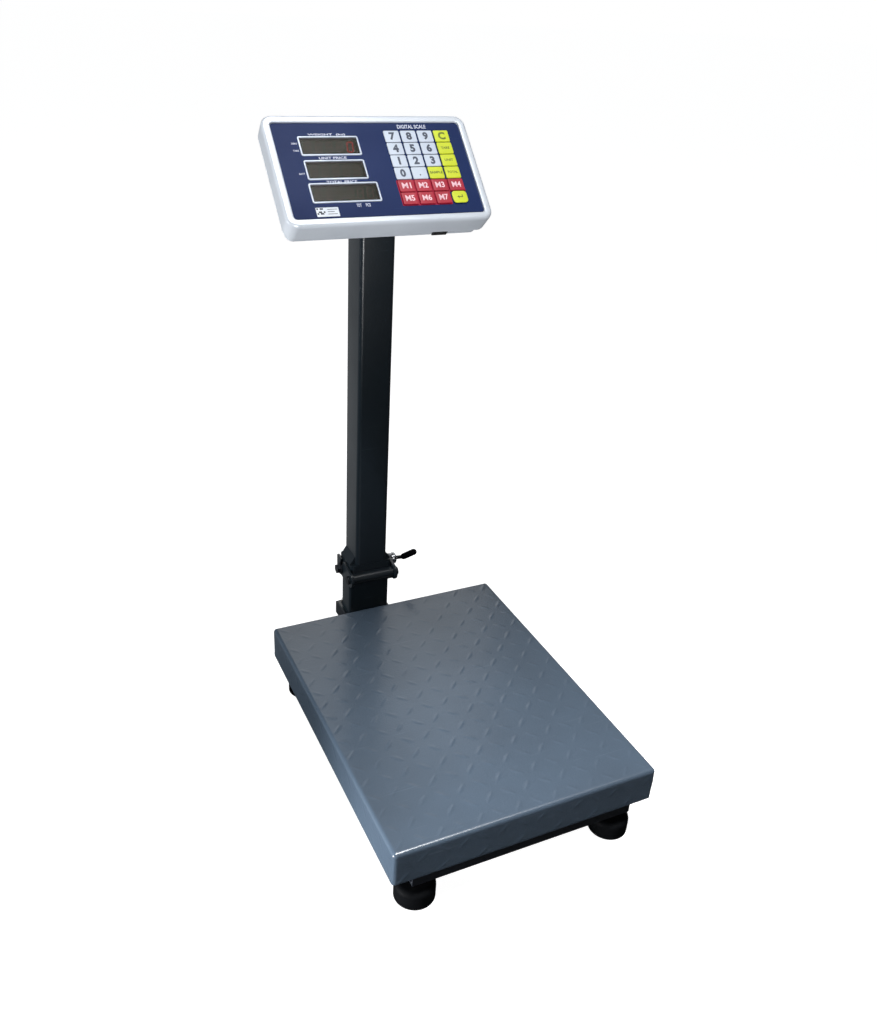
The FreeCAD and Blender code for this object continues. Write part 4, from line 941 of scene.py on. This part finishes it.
# %% Panel material
def build_box_mask_group():
    """Mask of a rounded box: 1 where the distance outside its inner box is under the corner."""
    tree, given, result = new_group(
        "rounded_box_mask", {"Place": (0, 0, 0), "Centre": (0, 0, 0), "Half Size": (0.01, 0.01, 1),
                             "Corner": 0.001, "Softness": 0.0001}, {"Mask": 1})
    corner = add_node(tree, "ShaderNodeCombineXYZ", X=given["Corner"], Y=given["Corner"]).outputs[0]
    inner = vector_of(tree, "SUBTRACT", given["Half Size"], corner)
    size = vector_of(tree, "ABSOLUTE", vector_of(tree, "SUBTRACT", given["Place"], given["Centre"]))
    outside = vector_of(tree, "MAXIMUM", vector_of(tree, "SUBTRACT", size, inner), (0, 0, -1))
    length = vector_of(tree, "LENGTH", vector_of(tree, "MULTIPLY", outside, (1, 1, 0)))
    gap = math_of(tree, "SUBTRACT", given["Corner"], length)
    tree.links.new(math_of(tree, "DIVIDE", gap, given["Softness"], True), result["Mask"])
    return tree


box_mask_group = build_box_mask_group()
key_pitch_u = 23.3 * mm
key_pitch_v = 18.15 * mm
keypad_u = 63.5 * mm
keypad_v = 1.05 * mm


def key_centre(row, column):
    """Where a key lies on the panel, from its row and column, counted from the top left."""
    return keypad_u + (column - 1.5) * key_pitch_u, keypad_v + (2.5 - row) * key_pitch_v


navy_film = finish("navy_film", (9, 37, 88), (7, 32, 80), (0.46, 0.58), patch_scale=8.0,
                   grain=(2600.0, 0.000012), specular=0.22, scratches=(18.0, 0.9, 0.18),
                   wear_colour=(70, 92, 142))
film_tree = navy_film.node_tree
film_attribute = add_node(film_tree, "ShaderNodeAttribute", {"attribute_name": "panel_place"})
film_place = film_attribute.outputs["Vector"]
film_masks = []
for row, first, last in ((4, 0, 3), (5, 0, 2)):
    low_u, ground_v = key_centre(row, first)
    high_u = key_centre(row, last)[0]
    half_size = ((high_u - low_u + key_pitch_u) / 2, key_pitch_v / 2 + 0.4 * mm, 1)
    mask = add_node(film_tree, "ShaderNodeGroup", {"node_tree": box_mask_group}, Place=film_place,
                    Corner=1.6 * mm, Centre=((low_u + high_u) / 2, ground_v, 0), Half_Size=half_size)
    film_masks.append(mask.outputs["Mask"])
film_ground = math_of(film_tree, "MAXIMUM", *film_masks)
crimson = linear(158, 22, 52)
film_shader = film_tree.nodes["Principled BSDF"]
film_colour = film_shader.inputs["Base Color"].links[0].from_socket
film_tree.links.new(colour_mix(film_tree, film_ground, film_colour, crimson),
                    film_shader.inputs["Base Color"])

panel_piece = eased("control_panel", "head", navy_film, 0.15 * mm, name="printed_panel")
panel_points = np.empty(len(panel_piece.data.vertices) * 3)
panel_piece.data.vertices.foreach_get("co", panel_points)
to_panel = np.array(head_matrix.inverted())
panel_local = panel_points.reshape(-1, 3) @ to_panel[:3, :3].T + to_panel[:3, 3]
panel_place = panel_piece.data.attributes.new("panel_place", "FLOAT_VECTOR", "POINT")
panel_place.data.foreach_set("vector", panel_local.ravel())
print("panel film ready")

# %% [markdown]
# ## Windows
# Each window has a raised silver trim with a rounded lip and a smoked pane set just above the
# film.  Behind the pane stands a row of seven-segment digits.  A segment is a bar with pointed
# ends; an unlit one is only a little paler than the module, and one digit glows dim red.

# %% Windows and digits
window_list = [(-57.75 * mm, 34.6 * mm, 79.5 * mm), (-57.75 * mm, 0.4 * mm, 79.5 * mm),
               (-54.0 * mm, -32.0 * mm, 90.8 * mm)]
window_height = 28.2 * mm
window_corner = 3 * mm
trim_width = 2.3 * mm
trim_silver = finish("trim_silver", (186, 196, 210), (168, 178, 194), (0.29, 0.4), patch_scale=40.0,
                     grain=(2400.0, 0.00001), metallic=0.3, coat=0.3)
trim_low = -2 * mm
lip, lip_wall, inner_lip = 0.55 * mm, 0.45 * mm, 0.5 * mm
trim_profile = [(trim_width / 2, trim_low), (trim_width / 2, 0), (0, 0), (0, lip_wall)]
trim_profile += quarter_round(lip, lip_wall, lip, 180, 90, 4)[1:]
trim_profile += quarter_round(trim_width - inner_lip, inner_lip, inner_lip, 90, 0, 4)
trim_profile += [(trim_width, trim_low)]
trim_shapes = []
pane_shapes = []
pane_profile = [(0, trim_low), (0, 0.1 * mm), (0.15 * mm, 0.25 * mm)]
for u, v, width in window_list:
    trim = carried(width, window_height, window_corner, trim_profile, 6, wrap=True)
    trim_shapes.append(moved_shape(trim, u, v))
    pane = carried(width - 2 * trim_width, window_height - 2 * trim_width, window_corner - trim_width,
                   pane_profile, 4)
    pane_shapes.append(moved_shape(pane, u, v))
piece("window_trims", on_head(joined_shapes(trim_shapes)), "head", trim_silver,
      replaces=["window_frames"])

smoked = finish("smoked_pane", (38, 27, 15), (34, 24, 13), (0.18, 0.26), patch_scale=16.0,
                grain=(300.0, 0.000002), specular=0.2)
smoked.node_tree.nodes["Principled BSDF"].inputs["Alpha"].default_value = 0.5
piece("smoked_panes", on_head(joined_shapes(pane_shapes)), "head", smoked,
      replaces=["display_windows"])

digit_height = 14.2 * mm
digit_width = 7.4 * mm
digit_bar = 1.5 * mm
digit_gap = 0.25 * mm
digit_margin = 6 * mm
digit_lean = math.tan(math.radians(8))
digit_front = -2.6 * mm
segment_lines = {"a": ((-1, 1), (1, 1)), "b": ((1, 1), (1, 0)), "c": ((1, 0), (1, -1)),
                 "d": ((-1, -1), (1, -1)), "e": ((-1, 0), (-1, -1)), "f": ((-1, 1), (-1, 0)),
                 "g": ((-1, 0), (1, 0))}


def segment(name, u, v):
    """One bar of a digit: a hexagon along its line, whose ends stop just short of the corners."""
    start, end = (np.array(p) * [digit_width / 2, digit_height / 2] for p in segment_lines[name])
    along = (end - start) / np.linalg.norm(end - start)
    across = np.array([-along[1], along[0]]) * digit_bar / 2
    start, end = start + along * digit_gap, end - along * digit_gap
    step = along * digit_bar / 2
    corners = np.array([start, start + step - across, end - step - across,
                        end, end - step + across, start + step + across])
    corners[:, 0] += corners[:, 1] * digit_lean
    return flat_shape(corners + [u, v], digit_front, 0.05 * mm)


def digit_shapes(lit_words):
    """Segments of every digit in each window, split into lit and unlit ones."""
    lit, unlit = [], []
    for (u, v, width), (count, shown) in zip(window_list, lit_words):
        pitch = (width - 2 * trim_width - digit_margin) / count
        for place in range(count):
            for name in segment_lines:
                shape = segment(name, u + (place - (count - 1) / 2) * pitch, v)
                (lit if place == count - 1 and name in shown else unlit).append(shape)
    return lit, unlit


lit_shapes, unlit_shapes = digit_shapes([(5, "abcdef"), (5, ""), (6, "")])
segment_grey = finish("unlit_segment", (128, 104, 76), (114, 92, 66), (0.4, 0.6), patch_scale=60.0)
segment_red = finish("lit_segment", (190, 40, 30), (170, 30, 24), (0.4, 0.5), patch_scale=60.0)
glow_red = linear(255, 60, 40)
red_shader = segment_red.node_tree.nodes["Principled BSDF"]
red_shader.inputs["Emission Color"].default_value = glow_red
red_shader.inputs["Emission Strength"].default_value = 0.7
piece("unlit_digits", on_head(joined_shapes(unlit_shapes)), "head", segment_grey)
piece("lit_digit", on_head(joined_shapes(lit_shapes)), "head", segment_red)
print("digits:", len(unlit_shapes), "unlit and", len(lit_shapes), "lit segments")

# %% [markdown]
# ## Printed labels
# The film carries white print: the name of what each window shows, short marks beside them, a
# heading over the keypad, and a small white inspection sticker with a checked pattern.

# %% Labels
print_white = finish("print_white", (214, 219, 236), (196, 202, 222), (0.4, 0.55), patch_scale=70.0)
label_rows = [("WEIGHT  (kg)", -58, 50.9, 3.6, 49), ("UNIT PRICE", -58, 17.4, 3.6, 36),
              ("TOTAL PRICE", -54.7, -16.7, 3.6, 40), ("DIGITAL SCALE", 60.5, 62.2, 5.6, 40),
              ("ZERO", -102.8, 38.5, 2.3, 0), ("TARE", -102.6, 28.4, 2.3, 0),
              ("BATT", -102.6, -4.3, 2.3, 0), ("TOT", -41, -50.3, 4.6, 6.4),
              ("PCS", -29, -50.3, 4.6, 6.4)]
label_shapes = [moved_shape(word_shape(words, height * mm, width * mm), u * mm, v * mm)
                for words, u, v, height, width in label_rows]
piece("panel_labels", on_head(joined_shapes(label_shapes)), "head", print_white)

sticker_white = finish("sticker_white", (226, 232, 238), (212, 220, 230), (0.5, 0.6), patch_scale=50.0)
sticker_ink = finish("sticker_ink", (40, 46, 60), (58, 64, 80), (0.5, 0.6), patch_scale=90.0)
sticker_ground = [bar_shape(-83.5 * mm, -58 * mm, 29 * mm, 12.6 * mm, 0.8 * mm, thick=0.05 * mm)]
sticker_marks = []
check_u, check_v = 2.1 * mm, 2.2 * mm
ink_layer = {"low": 0.05 * mm, "thick": 0.04 * mm}
for row in range(5):
    for column in range(5):
        if (row * row + 2 * column * row + column) % 3 != 1:
            sticker_marks.append(bar_shape(-96 * mm + column * check_u, -53.6 * mm - row * check_v,
                                           check_u, check_v, **ink_layer))
for row, length in enumerate((13.0 * mm, 9.0 * mm, 12.0 * mm)):
    sticker_marks.append(bar_shape(-83.5 * mm + length / 2, (-54.4 - row * 3.2) * mm, length,
                                   0.7 * mm, **ink_layer))
piece("sticker_ground", on_head(joined_shapes(sticker_ground)), "head", sticker_white)
piece("sticker_marks", on_head(joined_shapes(sticker_marks)), "head", sticker_ink)
print("labels:", len(label_shapes))

# %% [markdown]
# ## Keys
# A key's cap is a shallow pillow: a rounded rectangle carried up a short wall, over a round, and
# then inwards while it rises by a fraction of a millimetre.  The stem and the flange below the
# panel are part of the same moulding, and the legend is printed on the cap, so all of it makes
# one piece that moves when the key is pressed.

# %% Keys and legends
key_width = 20.9 * mm
key_height = 16.9 * mm
key_low = 0.8 * mm
key_high = 2.4 * mm
key_corner = 1.6 * mm
enter_corner = 4.5 * mm
cap_crown = 0.25 * mm
cap_round = 0.45 * mm
stem_inset = 1.95 * mm
ink_sunk = 0.03 * mm


def key_shape(corner):
    """Cap with a crowned top, stem and flange, about the key's own centre."""
    wall_top = key_high - cap_crown - cap_round
    profile = [(0.15 * mm, key_low), (0, key_low + 0.15 * mm), (0, wall_top)]
    profile += quarter_round(cap_round, wall_top, cap_round, 180, 90, 4)[1:]
    for share in np.linspace(0.15, 1, 6):
        inset = cap_round + share * (key_height / 2 - 1.2 * mm)
        profile.append((inset, key_high - cap_crown * (1 - share) ** 2))
    cap = carried(key_width, key_height, corner, profile, 5)
    stem_size = (key_width - 2 * stem_inset, key_height - 2 * stem_inset)
    stem = carried(*stem_size, 1.3 * mm, [(0, -2.2 * mm), (0, key_low + 0.1 * mm)], 3)
    flange = carried(stem_size[0] + 2.4 * mm, stem_size[1] + 2.4 * mm, 1.6 * mm,
                     [(0.2 * mm, -3.2 * mm), (0, -3 * mm), (0, -2.3 * mm), (0.1 * mm, -2.2 * mm)], 3)
    return joined_shapes([cap, stem, flange])


def arrow_shape():
    """A return arrow: a bent shaft with a pointed head."""
    corners = [(-4.2, -0.6), (-1.4, 1.6), (-1.4, 0.1), (2.6, 0.1), (2.6, 2.6), (4.0, 2.6), (4.0, -1.3),
               (-1.4, -1.3), (-1.4, -2.8)]
    return flat_shape(np.array(corners) * mm)


key_rows = [["key_7", "key_8", "key_9", "key_clear"], ["key_4", "key_5", "key_6", "key_tare"],
            ["key_1", "key_2", "key_3", "key_unit"], ["key_0", "key_point", "key_sample", "key_add"],
            ["key_m1", "key_m2", "key_m3", "key_m4"], ["key_m5", "key_m6", "key_m7", "key_enter"]]
key_words = {"key_clear": "C", "key_tare": "TARE", "key_unit": "UNIT", "key_point": ".",
             "key_sample": "SAMPLE", "key_add": "TOTAL"}
white_cap = finish("white_cap", (200, 210, 224), (190, 200, 216), (0.44, 0.56), patch_scale=34.0,
                   grain=(3000.0, 0.00001))
yellow_cap = finish("yellow_cap", (208, 220, 44), (198, 210, 34), (0.4, 0.52), patch_scale=34.0,
                    grain=(3000.0, 0.00001))
red_cap = finish("red_cap", (176, 34, 56), (166, 30, 50), (0.4, 0.52), patch_scale=34.0,
                 grain=(3000.0, 0.00001))
digit_ink = finish("digit_ink", (58, 66, 84), (72, 80, 98), (0.4, 0.55), patch_scale=90.0)
olive_ink = finish("olive_ink", (96, 112, 24), (110, 126, 30), (0.4, 0.55), patch_scale=90.0)
pink_ink = finish("pink_ink", (244, 206, 214), (236, 194, 204), (0.4, 0.55), patch_scale=90.0)


def legend_shape(name):
    """The printed legend of a key, and how big it is drawn."""
    if name == "key_enter":
        return arrow_shape()
    if name.startswith("key_m"):
        return word_shape(name[4:].upper(), 8.2 * mm, 12.6 * mm, fat=0.022)
    if name == "key_point":
        return bar_shape(0, -3.2 * mm, 2 * mm, 2 * mm, 0.9 * mm)
    words = key_words.get(name, name[4:])
    if len(words) > 1:
        return word_shape(words, 3.6 * mm, (2.9 * len(words) + 0.5) * mm, fat=0.03)
    return word_shape(words, 11.4 * mm, fat=0.05)


for row, names in enumerate(key_rows):
    for column, name in enumerate(names):
        u, v = key_centre(row, column)
        if name.startswith("key_m"):
            slot, cap_finish, ink = "red_key", red_cap, pink_ink
        elif column == 3 or name in key_words and name != "key_point":
            slot, cap_finish, ink = "yellow_key", yellow_cap, olive_ink
        else:
            slot, cap_finish, ink = "white_key", white_cap, digit_ink
        body_shape = key_shape(enter_corner if name == "key_enter" else key_corner)
        legend = moved_shape(legend_shape(name), 0, 0, key_high - ink_sunk)
        whole = joined_shapes([body_shape, legend])
        which = [0] * len(body_shape[1]) + [1] * len(legend[1])
        piece(name + "_cap", on_head(whole, u, v), name, [cap_finish, ink], replaces=[name],
              material_of=which, angle=50)
print("keys:", sum(len(names) for names in key_rows))

# %% [markdown]
# ## Inside the head
# The boards, the battery and the transformer can only be seen when the casing is opened, but
# they get real finishes too.

# %% Inner parts
solder_green = finish("solder_green", (22, 84, 50), (30, 104, 62), (0.3, 0.45), patch_scale=120.0,
                      grain=(500.0, 0.00004), coat=0.3, scratches=(60.0, 0.0, 0.6),
                      wear_colour=(64, 138, 84))
core_iron = finish("core_iron", (74, 66, 56), (58, 52, 46), (0.4, 0.6), patch_scale=60.0,
                   grain=(800.0, 0.0001), metallic=0.4)
battery_grey = finish("battery_grey", (58, 62, 70), (48, 52, 60), (0.45, 0.6), patch_scale=24.0,
                      grain=(1800.0, 0.00005))
for node in ("display_board", "keypad_board", "main_board"):
    eased(node, "head", solder_green, 0.2 * mm)
eased("transformer", "head", core_iron, 0.4 * mm)
eased("battery", "head", battery_grey, 0.5 * mm)
print("inner parts made")
